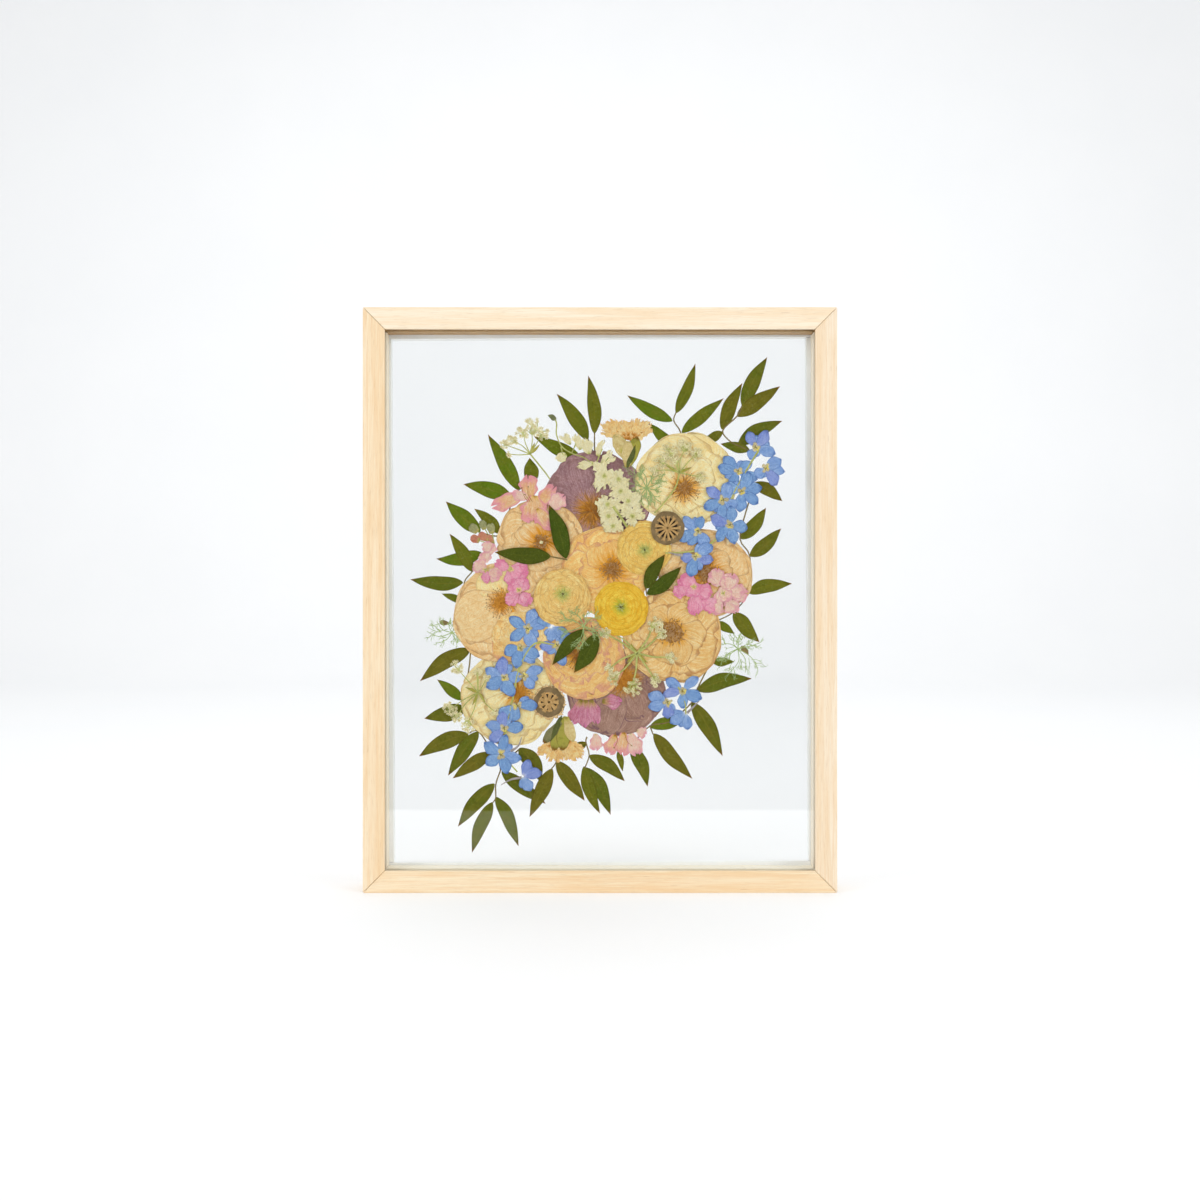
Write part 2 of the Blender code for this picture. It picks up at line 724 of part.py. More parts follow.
def bouquet(parts):
    """Every pressed flower and leaf, from the back layer to the front."""
    for name, (x, z, wide, high, lobes, layer, finish) in BLOOMS.items():
        pressed(name, layer, [disc(x, z, wide, high, lobes=lobes)], finish, parts)
    for name, (x, z, radius, crown, layer) in SEED_HEADS.items():
        star_top = star(x, z, crown, STAR_INNER, STAR_RAYS)
        pressed(name, layer, [disc(x, z, radius, radius)], "seed_head", parts, crown=star_top)
    for name, (layer, leaves, stems) in RUSCUS.items():
        outlines = [leaf(*one) for one in leaves] + [stem(route, STEM_WIDTH) for route in stems]
        pressed(name, layer, outlines, "leaf", parts)
    for name, (layer, florets, route) in DELPHINIUM.items():
        outlines = [stem(route, DELPHINIUM_STEM_WIDTH)] + [floret(*one) for one in florets]
        pressed(name, layer, outlines, "blue", parts)
    for name, (layer, finish, petals) in CLUSTERS.items():
        outlines = [disc(*petal, points=SMALL_DISC_POINTS) for petal in petals]
        if name == "larkspur_white":
            outlines += [stem(route, STEM_WIDTH) for route in LARKSPUR_STEMS]
        pressed(name, layer, outlines, finish, parts)
    for name, (layer, middle, heads, route) in UMBELS.items():
        outlines = [stem(route, STEM_WIDTH)]
        for x, z, radius in heads:
            outlines.append(stem([middle, (x, z)], RAY_WIDTH))
            outlines.append(disc(x, z, radius, radius, points=HEAD_POINTS))
        pressed(name, layer, outlines, "umbel", parts)
    for name, shape in CARNATIONS.items():
        pressed(name, CARNATION_LAYER, carnation(*shape), "orange", parts)


def main():
    """Builds the frame, the glass and the bouquet."""
    for existing in list(bpy.data.objects):
        bpy.data.objects.remove(existing)
    parts = collection("pressed flower frame")
    cutters = collection("cutters")
    frame_rails(parts, cutters)
    panes(parts)
    fillet_w, fillet_h = SIGHT_WIDTH / 2, SIGHT_HEIGHT / 2
    border("fillet", fillet_w, fillet_h, RABBET_SIDE, FILLET_Y, STRIP_Y - GAP, "wood", 0, parts)
    border(
        "strip",
        fillet_w - STRIP_PROUD,
        fillet_h - STRIP_PROUD,
        RABBET_SIDE + STRIP_PROUD - STRIP_PLAY,
        STRIP_Y,
        STRIP_Y + STRIP_THICKNESS,
        "pale_paint",
        STRIP_TURN,
        parts,
    )
    bouquet(parts)
    cutters.hide_render = True


main()
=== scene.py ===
"""Pressed flower frame: a bouquet of real flowers held flat between two panes in a light wooden frame.

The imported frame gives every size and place. Each flower and spray of leaves is a pile of thin sheets
in the layer that its solid holds between the panes.
"""

import json
import logging
import math
import random
from dataclasses import dataclass, field
from enum import Enum

import bpy
import numpy as np
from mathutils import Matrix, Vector


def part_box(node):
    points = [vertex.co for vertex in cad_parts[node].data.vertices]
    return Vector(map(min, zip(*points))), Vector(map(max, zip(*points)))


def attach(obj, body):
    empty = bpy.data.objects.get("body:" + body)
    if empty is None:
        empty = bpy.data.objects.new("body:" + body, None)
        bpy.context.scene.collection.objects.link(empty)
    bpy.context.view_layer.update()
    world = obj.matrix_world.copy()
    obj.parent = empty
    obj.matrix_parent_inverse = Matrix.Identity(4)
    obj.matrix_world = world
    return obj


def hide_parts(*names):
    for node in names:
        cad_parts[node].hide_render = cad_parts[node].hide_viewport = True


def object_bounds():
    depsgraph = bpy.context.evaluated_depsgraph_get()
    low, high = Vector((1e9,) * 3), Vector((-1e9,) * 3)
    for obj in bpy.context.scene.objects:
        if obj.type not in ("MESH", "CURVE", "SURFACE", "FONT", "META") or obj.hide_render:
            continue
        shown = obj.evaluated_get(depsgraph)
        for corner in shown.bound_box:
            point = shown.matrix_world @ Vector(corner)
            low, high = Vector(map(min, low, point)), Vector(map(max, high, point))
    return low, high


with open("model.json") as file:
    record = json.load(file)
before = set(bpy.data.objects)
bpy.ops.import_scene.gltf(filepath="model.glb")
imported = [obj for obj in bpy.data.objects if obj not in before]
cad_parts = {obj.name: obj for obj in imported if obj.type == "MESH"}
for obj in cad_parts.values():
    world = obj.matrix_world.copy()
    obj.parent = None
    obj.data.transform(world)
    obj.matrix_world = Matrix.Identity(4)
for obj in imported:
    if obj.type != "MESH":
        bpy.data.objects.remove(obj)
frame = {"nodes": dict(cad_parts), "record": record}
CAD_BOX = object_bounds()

LOG = logging.getLogger("pressed_flower_frame")
MM = 0.001
TURN = 6.28  # a full turn, for random angles
SPIRAL = 2.4  # the angle from one seed to the next in a flower's heart
Point = tuple[float, float]
Colour = tuple[float, float, float]
Value = "bpy.types.NodeSocket | float | Colour"


def srgb(code: str) -> Colour:
    """Turns a six-digit screen colour into linear values.

    Args:
        code: the colour as RRGGBB.

    Returns:
        Linear red, green and blue.
    """
    values = [int(code[i:i + 2], 16) / 255 for i in (0, 2, 4)]
    return tuple(v / 12.92 if v <= 0.04045 else ((v + 0.055) / 1.055) ** 2.4 for v in values)


class Graph:
    """A node tree and short ways to write into it."""

    def __init__(self, tree: bpy.types.NodeTree) -> None:
        """Keeps the tree."""
        self.tree = tree

    def node(self, kind: str, inputs: dict | None = None, **settings) -> bpy.types.Node:
        """Adds a node.

        Args:
            kind: the node's Blender type, without its ShaderNode prefix.
            inputs: values or sockets by input name or number.
            settings: the node's own properties.

        Returns:
            The new node.
        """
        made = self.tree.nodes.new("ShaderNode" + kind)
        for name, value in settings.items():
            setattr(made, name, value)
        for name, value in (inputs or {}).items():
            self.feed(made.inputs[name], value)
        return made

    def feed(self, socket: bpy.types.NodeSocket, value: Value) -> None:
        """Links a socket or sets its value.

        Args:
            socket: the input to fill.
            value: another socket, a number or a colour.
        """
        if isinstance(value, bpy.types.NodeSocket):
            self.tree.links.new(value, socket)
        elif isinstance(value, tuple) and socket.type == "RGBA":
            socket.default_value = (*value, 1)
        else:
            socket.default_value = value

    def math(self, operation: str, a: Value, b: Value = 0.0, clamp: bool = False) -> bpy.types.NodeSocket:
        """Returns one operation on two values."""
        return self.node("Math", {0: a, 1: b}, operation=operation, use_clamp=clamp).outputs[0]

    def times(self, a: Value, b: Value) -> bpy.types.NodeSocket:
        """Returns a times b."""
        return self.math("MULTIPLY", a, b)

    def plus(self, a: Value, b: Value, clamp: bool = False) -> bpy.types.NodeSocket:
        """Returns a plus b."""
        return self.math("ADD", a, b, clamp)

    def minus(self, a: Value, b: Value) -> bpy.types.NodeSocket:
        """Returns a less b."""
        return self.math("SUBTRACT", a, b)

    def bump(self, shader: bpy.types.Node, height: Value, distance: float) -> None:
        """Gives a shader's surface its relief."""
        made = self.node("Bump", {"Height": height, "Distance": distance, "Strength": 1.0})
        self.feed(shader.inputs["Normal"], made.outputs[0])

    def look(self, shader: bpy.types.Node, colour: Value, rough: Value, shine: float = 0.5) -> None:
        """Sets a shader's colour, roughness and shine."""
        self.feed(shader.inputs["Base Color"], colour)
        self.feed(shader.inputs["Roughness"], rough)
        shader.inputs["Specular IOR Level"].default_value = shine

    def surface(self, share: Value, a: bpy.types.Node, b: bpy.types.Node,
                output: str = "Material Output") -> None:
        """Sends shader a with a share of shader b to the tree's output."""
        both = self.node("MixShader", {0: share, 1: a.outputs[0], 2: b.outputs[0]})
        self.feed(self.tree.nodes[output].inputs["Surface"], both.outputs[0])

    def petal(self) -> bpy.types.NodeOutputs:
        """Returns what the points of a sheet carry: across, along and tone."""
        held = self.node("Attribute", attribute_name="petal").outputs["Vector"]
        return self.node("SeparateXYZ", {0: held}).outputs

    def mix(self, share: Value, a: Value, b: Value, blend: str = "MIX") -> bpy.types.NodeSocket:
        """Returns colour a with a share of colour b blended over it."""
        made = self.node("Mix", data_type="RGBA", blend_type=blend)
        for number, value in ((0, share), (6, a), (7, b)):
            self.feed(made.inputs[number], value)
        return made.outputs[2]

    def ramp(self, value: Value, low: float, high: float, out_low: float = 0.0,
             out_high: float = 1.0) -> bpy.types.NodeSocket:
        """Returns value eased from one range to another."""
        inputs = {"Value": value, 1: low, 2: high, 3: out_low, 4: out_high}
        return self.node("MapRange", inputs, interpolation_type="SMOOTHSTEP").outputs[0]

    def noise(self, vector: Value, scale: Value, detail: float = 3.0, warp: Value = 0.0,
              rough: float = 0.5) -> bpy.types.NodeSocket:
        """Returns a cloudy value."""
        inputs = {"Vector": vector, "Scale": scale, "Detail": detail, "Distortion": warp,
            "Roughness": rough}
        return self.node("TexNoise", inputs).outputs[0]

    def stretched(self, vector: Value, scale: Colour) -> bpy.types.NodeSocket:
        """Returns a vector scaled by different amounts along its axes."""
        return self.node("VectorMath", {0: vector, 1: scale}, operation="MULTIPLY").outputs[0]

    def combined(self, x: Value, y: Value, z: Value) -> bpy.types.NodeSocket:
        """Returns a vector of three values."""
        return self.node("CombineXYZ", {0: x, 1: y, 2: z}).outputs[0]


class Effect(Enum):
    """The effects that several finishes share."""

    VEINS = "petal veins"
    CRUMPLE = "pressed crumple"
    HEART = "heart stain"
    GRAIN = "straight grain"


def effect_tree(effect: Effect, inputs: dict[str, float], outputs: list[str]) -> Graph:
    """Starts the node group of an effect.

    Args:
        effect: which effect.
        inputs: its input names and default values.
        outputs: its output names.

    Returns:
        The group's graph, with its input and output nodes in place.
    """
    tree = bpy.data.node_groups.new(effect.value, "ShaderNodeTree")
    for name, value in inputs.items():
        kind = "NodeSocketVector" if name == "Vector" else "NodeSocketFloat"
        socket = tree.interface.new_socket(name, in_out="INPUT", socket_type=kind)
        if kind == "NodeSocketFloat":
            socket.default_value = value
    for name in outputs:
        tree.interface.new_socket(name, in_out="OUTPUT", socket_type="NodeSocketFloat")
    graph = Graph(tree)
    graph.entry = tree.nodes.new("NodeGroupInput").outputs
    graph.exit = tree.nodes.new("NodeGroupOutput").inputs
    return graph


def build_effects() -> None:
    """Makes the shared node groups once."""
    g = effect_tree(Effect.VEINS, {"Across": 0, "Along": 0, "Tone": 0, "Density": 7, "Spread": 0.25},
        ["Veins"])
    fan = g.times(g.entry["Across"], g.entry["Density"])
    lane = g.combined(fan, g.times(g.entry["Along"], 1.1), g.times(g.entry["Tone"], 31.0))
    coarse = g.noise(lane, 1.0, 2.0, 0.5)
    fine = g.noise(g.stretched(lane, (3.1, 1.6, 1.0)), 1.0, 3.0, 0.7)
    streak = g.plus(g.times(coarse, 0.45), g.times(fine, 0.55))
    narrow = g.math("ABSOLUTE", g.minus(streak, 0.5))
    eased = g.node("MapRange", {"Value": narrow, 1: 0.0, 2: g.entry["Spread"]}).outputs[0]
    g.feed(g.exit["Veins"], g.minus(1.0, eased))

    g = effect_tree(Effect.CRUMPLE, {"Vector": 0, "Scale": 150, "Sharpness": 0.5},
        ["Creases", "Height", "Mottle"])
    warp = g.node("TexNoise", {"Vector": g.entry["Vector"], "Scale": g.entry["Scale"], "Detail": 2.0})
    shift = g.stretched(warp.outputs["Color"], (0.006,) * 3)
    bent = g.node("VectorMath", {0: g.entry["Vector"], 1: shift}, operation="ADD").outputs[0]
    cells = g.node("TexVoronoi", {"Vector": bent, "Scale": g.entry["Scale"]}, feature="DISTANCE_TO_EDGE")
    folds = g.minus(1.0, g.ramp(cells.outputs["Distance"], 0.0, 0.16))
    waves = g.noise(bent, g.entry["Scale"], 5.0, rough=0.6)
    ridge = g.math("ABSOLUTE", g.minus(waves, 0.5))
    ridges = g.minus(1.0, g.ramp(ridge, 0.0, 0.055))
    sharp = g.times(folds, g.times(g.entry["Sharpness"], 0.6))
    g.feed(g.exit["Creases"], g.plus(sharp, g.times(ridges, 0.55), clamp=True))
    soft = g.times(folds, g.times(g.entry["Sharpness"], 0.35))
    g.feed(g.exit["Height"], g.plus(soft, g.plus(g.times(ridges, 0.4), waves)))
    broad = g.noise(g.entry["Vector"], g.times(g.entry["Scale"], 0.45))
    g.feed(g.exit["Mottle"], g.ramp(broad, 0.35, 0.68))

    g = effect_tree(Effect.HEART, {"Distance": 0, "Across": 0, "Tone": 0, "Reach": 20}, ["Stain", "Core"])
    ray = g.combined(g.times(g.entry["Across"], 9.0), g.times(g.entry["Distance"], 0.05),
        g.times(g.entry["Tone"], 23.0))
    ragged = g.times(g.minus(g.noise(ray, 1.0, 3.0), 0.5), 1.3)
    share = g.math("DIVIDE", g.entry["Distance"], g.entry["Reach"])
    g.feed(g.exit["Stain"], g.ramp(g.plus(share, ragged), 0.25, 1.0, 1.0, 0.0))
    g.feed(g.exit["Core"], g.ramp(g.plus(share, g.times(ragged, 0.5)), 0.12, 0.45, 1.0, 0.0))

    g = effect_tree(Effect.GRAIN, {"Vector": 0, "Fineness": 1, "Figure": 0.5}, ["Grain", "Pores", "Height"])
    drawn, fineness = g.entry["Vector"], g.entry["Fineness"]
    fibre = g.noise(drawn, g.times(fineness, 900.0), 4.0, rough=0.65)
    bands = g.noise(drawn, g.times(fineness, 190.0), warp=g.entry["Figure"])
    pores = g.ramp(g.noise(drawn, g.times(fineness, 2300.0), 2.0), 0.6, 0.72)
    grain = g.plus(g.times(fibre, 0.5), g.times(bands, 0.5))
    g.feed(g.exit["Grain"], g.ramp(grain, 0.36, 0.64))
    g.feed(g.exit["Pores"], pores)
    g.feed(g.exit["Height"], g.minus(fibre, g.times(pores, 0.5)))


def place(graph: Graph, effect: Effect, **inputs: Value) -> bpy.types.NodeOutputs:
    """Puts a shared effect into a material.

    Args:
        graph: the material's graph.
        effect: which effect.
        inputs: its inputs by name.

    Returns:
        The outputs of the placed group.
    """
    made = graph.node("Group", node_tree=bpy.data.node_groups[effect.value])
    for name, value in inputs.items():
        graph.feed(made.inputs[name], value)
    return made.outputs


def new_material(name: str) -> tuple[Graph, bpy.types.Node]:
    """Starts a material.

    Args:
        name: what it is called.

    Returns:
        Its graph and its Principled shader.
    """
    made = bpy.data.materials.new(name)
    made.use_nodes = True
    graph = Graph(made.node_tree)
    graph.material = made
    return graph, made.node_tree.nodes["Principled BSDF"]


def let_light_through(graph: Graph, shader: bpy.types.Node, colour: bpy.types.NodeSocket,
                      share: float) -> None:
    """Lets part of the light behind a thin sheet pass through it.

    Args:
        graph: the material's graph.
        shader: its Principled shader.
        colour: the sheet's colour.
        share: how much of the light passes.
    """
    thin = graph.node("BsdfTranslucent", {"Color": colour})
    graph.surface(share, shader, thin)


@dataclass(frozen=True)
class Surface:
    """What every finish shares: its name, and a material that is made once."""

    name: str

    def paint(self, g: Graph, shader: bpy.types.Node) -> None:
        """Sets up the finish's nodes.

        Args:
            g: the material's graph.
            shader: its Principled shader.
        """
        raise NotImplementedError

    def material(self) -> bpy.types.Material:
        """Returns the finish's material, made on first use."""
        if self.name in bpy.data.materials:
            return bpy.data.materials[self.name]
        g, shader = new_material(self.name)
        self.paint(g, shader)
        return g.material


@dataclass(frozen=True)
class PetalFinish(Surface):
    """The finish of one kind of pressed petal."""

    base: str
    shade: str
    edge: str
    heart: str
    core: str
    reach: float = 22.0
    vein_share: float = 0.6
    vein_density: float = 12.0
    mottle: float = 0.5
    crease_share: float = 0.5
    crease_scale: float = 160.0
    vein_tint_and_crease_shade: Colour = (0.98, 0.86, 0.68)  # what each colour keeps along veins and creases: the petals' own darker veins and folds, and painted shade in the creases
    ringed: bool = False  # whether its wrinkles run round the heart instead of out from it
    edge_width: float = 0.09
    edge_share: float = 0.7
    through: float = 0.12
    relief: float = 0.0004

    def paint(self, g: Graph, shader: bpy.types.Node) -> None:
        """Sets up the finish's nodes."""
        across, along, tone = g.petal()
        distance = g.node("Attribute", attribute_name="heart").outputs["Fac"]
        where = g.node("TexCoord").outputs["Object"]
        sweep = g.times(distance, 0.055) if self.ringed else across
        veins = place(g, Effect.VEINS, Across=sweep, Along=along, Tone=tone, Density=self.vein_density,
            Spread=0.11)["Veins"]
        crumple = place(g, Effect.CRUMPLE, Vector=where, Scale=self.crease_scale)
        heart = place(g, Effect.HEART, Distance=distance, Across=across, Tone=tone, Reach=self.reach)
        base, shade = srgb(self.base), srgb(self.shade)
        vein_tint_and_crease_shade = tuple(part * share for part, share in zip(shade, self.vein_tint_and_crease_shade))
        colour = g.mix(g.times(crumple["Mottle"], self.mottle), base, shade)
        varied = g.times(g.ramp(tone, 0.0, 1.0), 0.3)
        colour = g.mix(varied, colour, shade)
        # Veins and creases are multiplied darker. This is partly the petals' own vein and fold colour and
        # partly painted shade where wrinkles and creases would be shaded.
        colour = g.mix(g.times(veins, self.vein_share), colour, vein_tint_and_crease_shade, "MULTIPLY")
        colour = g.mix(g.times(crumple["Creases"], self.crease_share), colour, vein_tint_and_crease_shade, "MULTIPLY")
        colour = g.mix(heart["Stain"], colour, srgb(self.heart))
        colour = g.mix(heart["Core"], colour, srgb(self.core))
        # Rims take the edge colour. This is partly the petals' own browned or pink rims and partly painted
        # shade standing in for the contact shadow along each petal's edge.
        side = g.math("ABSOLUTE", across)
        rim = g.math("MAXIMUM", side, along)
        ragged = g.times(g.minus(g.noise(where, 420.0, 3.0), 0.5), self.edge_width)
        rim_colour_and_shade_mask = g.ramp(g.plus(rim, ragged), 1.0 - self.edge_width, 1.0)
        colour = g.mix(g.times(rim_colour_and_shade_mask, self.edge_share), colour, srgb(self.edge))
        g.look(shader, colour, g.ramp(crumple["Creases"], 0.0, 1.0, 0.62, 0.86), shine=0.12)
        height = g.plus(crumple["Height"], g.times(veins, 0.35))
        g.bump(shader, height, self.relief)
        let_light_through(g, shader, colour, self.through)


@dataclass(frozen=True)
class LeafFinish(Surface):
    """The finish of pressed leaves: fine parallel veins, darker blotches and dry tips."""

    fresh: str
    olive: str
    dry: str
    through: float = 0.25
    relief: float = 0.00008

    def paint(self, g: Graph, shader: bpy.types.Node) -> None:
        """Sets up the finish's nodes."""
        across, along, tone = g.petal()
        where = g.node("TexCoord").outputs["Object"]
        veins = place(g, Effect.VEINS, Across=across, Along=along, Tone=tone, Density=9.0,
            Spread=0.3)["Veins"]
        crumple = place(g, Effect.CRUMPLE, Vector=where, Scale=210.0, Sharpness=0.2)
        lines = g.math("SINE", g.times(across, 40.0))
        colour = g.mix(g.ramp(tone, 0.15, 0.85), srgb(self.fresh), srgb(self.olive))
        colour = g.mix(g.times(crumple["Mottle"], 0.35), colour, srgb(self.dry))
        darker = g.mix(1.0, colour, (0.45, 0.5, 0.4), "MULTIPLY")
        colour = g.mix(g.times(veins, 0.3), colour, darker)
        colour = g.mix(g.ramp(lines, 0.0, 1.0, 0.0, 0.16), colour, darker)
        midrib = g.ramp(g.math("ABSOLUTE", across), 0.02, 0.08, 0.45, 0.0)
        colour = g.mix(midrib, colour, srgb(self.dry))
        colour = g.mix(g.ramp(g.noise(where, 900.0, 2.0), 0.58, 0.72, 0.0, 0.3), colour, srgb("a8b070"))
        colour = g.mix(g.ramp(g.noise(where, 340.0, 3.0), 0.5, 0.7, 0.0, 0.45), colour, darker)
        rim = g.math("MAXIMUM", g.math("ABSOLUTE", across), g.times(along, 1.02))
        colour = g.mix(g.ramp(rim, 0.84, 1.0, 0.0, 0.7), colour, srgb("5a4c18"))
        colour = g.mix(g.ramp(along, 0.88, 1.0, 0.0, 0.8), colour, srgb("9a6424"))
        g.look(shader, colour, g.ramp(veins, 0.0, 1.0, 0.42, 0.6), shine=0.1)
        height = g.plus(g.times(lines, 0.3), g.plus(veins, crumple["Height"]))
        g.bump(shader, height, self.relief)
        let_light_through(g, shader, colour, self.through)


@dataclass(frozen=True)
class DryFinish(Surface):
    """The finish of stems, stamens, seed heads and other dry pieces."""

    base: str
    shade: str
    roughness: float = 0.75
    scale: float = 700.0
    relief: float = 0.00012

    def paint(self, g: Graph, shader: bpy.types.Node) -> None:
        """Sets up the finish's nodes."""
        where = g.node("TexCoord").outputs["Object"]
        crumple = place(g, Effect.CRUMPLE, Vector=where, Scale=self.scale, Sharpness=0.4)
        share = g.plus(g.times(crumple["Mottle"], 0.6), g.times(crumple["Creases"], 0.4), clamp=True)
        rough = g.ramp(crumple["Creases"], 0.0, 1.0, self.roughness - 0.1, self.roughness + 0.1)
        g.look(shader, g.mix(share, srgb(self.base), srgb(self.shade)), rough, shine=0.3)
        g.bump(shader, crumple["Height"], self.relief)


@dataclass(frozen=True)
class PlainWood(Surface):
    """Light natural wood with straight grain along one direction."""

    base: str
    dark: str
    run: Colour  # how much the grain is drawn out along x, y and z
    roughness: float = 0.5

    def paint(self, g: Graph, shader: bpy.types.Node) -> None:
        """Sets up the finish's nodes."""
        where = g.node("TexCoord").outputs["Object"]
        drawn = g.stretched(where, self.run)
        grain = place(g, Effect.GRAIN, Vector=drawn, Fineness=1.0, Figure=0.6)
        broad = g.ramp(g.noise(g.stretched(drawn, (0.35, 0.35, 0.35)), 120.0, 2.0), 0.3, 0.7)
        base, dark = srgb(self.base), srgb(self.dark)
        colour = g.mix(g.times(grain["Grain"], 0.85), base, dark)
        colour = g.mix(g.times(broad, 0.35), colour, dark)
        colour = g.mix(g.times(grain["Pores"], 0.3), colour, srgb("b98a58"))
        rough = g.ramp(grain["Grain"], 0.0, 1.0, self.roughness - 0.06, self.roughness + 0.1)
        g.look(shader, colour, rough, shine=0.35)
        g.bump(shader, grain["Height"], 0.00006)


@dataclass(frozen=True)
class ThinPaint(Surface):
    """Pale paint brushed thinly on wood."""

    base: str
    dark: str

    def paint(self, g: Graph, shader: bpy.types.Node) -> None:
        """Sets up the finish's nodes."""
        where = g.node("TexCoord").outputs["Object"]
        grain = place(g, Effect.GRAIN, Vector=g.stretched(where, (0.2, 1.0, 0.2)), Fineness=0.7, Figure=0.4)
        colour = g.mix(g.times(grain["Grain"], 0.3), srgb(self.base), srgb(self.dark))
        g.look(shader, colour, g.ramp(grain["Grain"], 0.0, 1.0, 0.5, 0.65))
        g.bump(shader, grain["Height"], 0.00005)


@dataclass(frozen=True)
class ClearGlass(Surface):
    """Clear picture glass, which lets lamplight reach the flowers behind it."""

    tint: Colour

    def paint(self, g: Graph, shader: bpy.types.Node) -> None:
        """Sets up the finish's nodes."""
        g.look(shader, self.tint, 0.0)
        shader.inputs["IOR"].default_value = 1.38
        shader.inputs["Transmission Weight"].default_value = 1.0
        clear = g.node("BsdfTransparent", {"Color": self.tint})
        path = g.node("LightPath")
        soft = g.math("MAXIMUM", path.outputs["Is Shadow Ray"], path.outputs["Is Diffuse Ray"])
        g.surface(soft, shader, clear)


class Layer:
    """The space between the panes that one pressed piece may fill, in millimetres."""

    def __init__(self, node: str) -> None:
        """Reads the layer from the CAD node that holds it."""
        low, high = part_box(node)
        self.middle = (low[1] + high[1]) / 2 / MM
        self.room = 0.22


class Pile:
    """Thin closed sheets gathered into one mesh, with the values that their finishes read."""

    def __init__(self, layer: Layer, seed: int) -> None:
        """Starts an empty pile.

        Args:
            layer: the space it fills.
            seed: settles every random choice of the piece.
        """
        self.layer = layer
        self.random = random.Random(seed)
        self.phase = seed * 1.7
        self.points: list[np.ndarray] = []
        self.values: list[np.ndarray] = []
        self.hearts: list[np.ndarray] = []
        self.faces: list[np.ndarray] = []
        self.slots: list[np.ndarray] = []
        self.materials: list[bpy.types.Material] = []
        self.count = 0

    def slot(self, finish: "Finish") -> int:
        """Returns the number of a finish's slot, added on first use."""
        material = finish.made()
        if material not in self.materials:
            self.materials.append(material)
        return self.materials.index(material)

    def closed_grid(self, grid: np.ndarray, values: np.ndarray, heart: np.ndarray, thick: float,
                    finish: "Finish") -> None:
        """Adds a sheet from a grid of points, with a back and a rim.

        Args:
            grid: rows x columns x 3 points in millimetres; y is depth within the layer, front negative.
            values: rows x columns x 3 of across, along and tone.
            heart: rows x columns distances from the flower's heart.
            thick: the sheet's thickness.
            finish: what it is made of.
        """
        rows, columns = grid.shape[:2]
        size = rows * columns
        front, back = grid.reshape(-1, 3).copy(), grid.reshape(-1, 3).copy()
        back[:, 1] += thick
        index = np.arange(size).reshape(rows, columns)
        a, b, c, d = index[:-1, :-1], index[:-1, 1:], index[1:, 1:], index[1:, :-1]
        quads = np.stack([a, b, c, d], -1).reshape(-1, 4)
        first = np.concatenate([index[0, :], index[1:, -1], index[-1, -2::-1], index[-2:0:-1, 0]])
        second = np.roll(first, -1)
        rim = np.stack([second, first, first + size, second + size], -1)
        faces = np.concatenate([quads, quads[:, ::-1] + size, rim])
        middle = quads[len(quads) // 2]
        across, along = front[middle[1]] - front[middle[0]], front[middle[3]] - front[middle[0]]
        if np.cross(across, along)[1] > 0:
            faces = faces[:, ::-1]
        self.add(np.concatenate([front, back]), np.tile(values.reshape(-1, 3), (2, 1)),
            np.tile(heart.reshape(-1), 2), faces, finish)

    def add(self, points: np.ndarray, values: np.ndarray, heart: np.ndarray, faces: np.ndarray,
            finish: "Finish") -> None:
        """Adds one closed shape.

        Args:
            points: its points in millimetres.
            values: across, along and tone of each point.
            heart: each point's distance from the flower's heart.
            faces: quads of point numbers.
            finish: what it is made of.
        """
        self.points.append(points)
        self.values.append(values)
        self.hearts.append(heart)
        self.faces.append(faces + self.count)
        self.slots.append(np.full(len(faces), self.slot(finish)))
        self.count += len(points)

    def tube(self, points: np.ndarray, quads: np.ndarray, index: np.ndarray, tone: float,
             finish: "Finish") -> None:
        """Adds a tube and closes both its ends.

        Args:
            points: its points in millimetres.
            quads: the faces round its sides.
            index: point numbers, one row for each ring.
            tone: its own shade from 0 to 1.
            finish: what it is made of.
        """
        lids = []
        for ring, order in ((index[0], -1), (index[-1], 1)):
            for step in range(len(ring) // 2 - 1):
                lids.append([ring[step], ring[step + 1], ring[-2 - step], ring[-1 - step]][::order])
        values = np.zeros((len(points), 3))
        values[:, 2] = tone
        self.add(points, values, np.zeros(len(points)), np.concatenate([quads, np.array(lids)]), finish)

    def swell(self, x: np.ndarray, z: np.ndarray, pitch: float) -> np.ndarray:
        """Returns a smooth unevenness from -1 to 1 that all sheets of the pile share."""
        p = self.phase
        return (np.sin(x / pitch + 1.3 * np.sin(z / pitch * 0.8 + p) + p)
                + np.sin(z / pitch * 1.2 + 1.1 * np.sin(x / pitch * 0.7 + p * 2) + p * 3)) / 2

    def mesh_object(self, name: str) -> bpy.types.Object:
        """Makes the pile's object.

        Args:
            name: the piece's name.

        Returns:
            The new object, in place between the panes.
        """
        points = np.concatenate(self.points)
        room = self.layer.room
        points[:, 1] = room * np.tanh(points[:, 1] / room) + self.layer.middle
        points[:, 2] += Frame.middle_z
        faces = np.concatenate(self.faces)
        mesh = bpy.data.meshes.new(name)
        mesh.from_pydata((points * MM).tolist(), [], faces.tolist())
        for material in self.materials:
            mesh.materials.append(material)
        mesh.polygons.foreach_set("material_index", np.concatenate(self.slots))
        petal = mesh.attributes.new("petal", "FLOAT_VECTOR", "POINT")
        petal.data.foreach_set("vector", np.concatenate(self.values).astype(np.float32).ravel())
        heart = mesh.attributes.new("heart", "FLOAT", "POINT")
        heart.data.foreach_set("value", np.concatenate(self.hearts).astype(np.float32))
        mesh.shade_smooth()
        mesh.set_sharp_from_angle(angle=math.radians(55))
        mesh.validate()
        made = bpy.data.objects.new(name, mesh)
        bpy.context.scene.collection.objects.link(made)
        return made


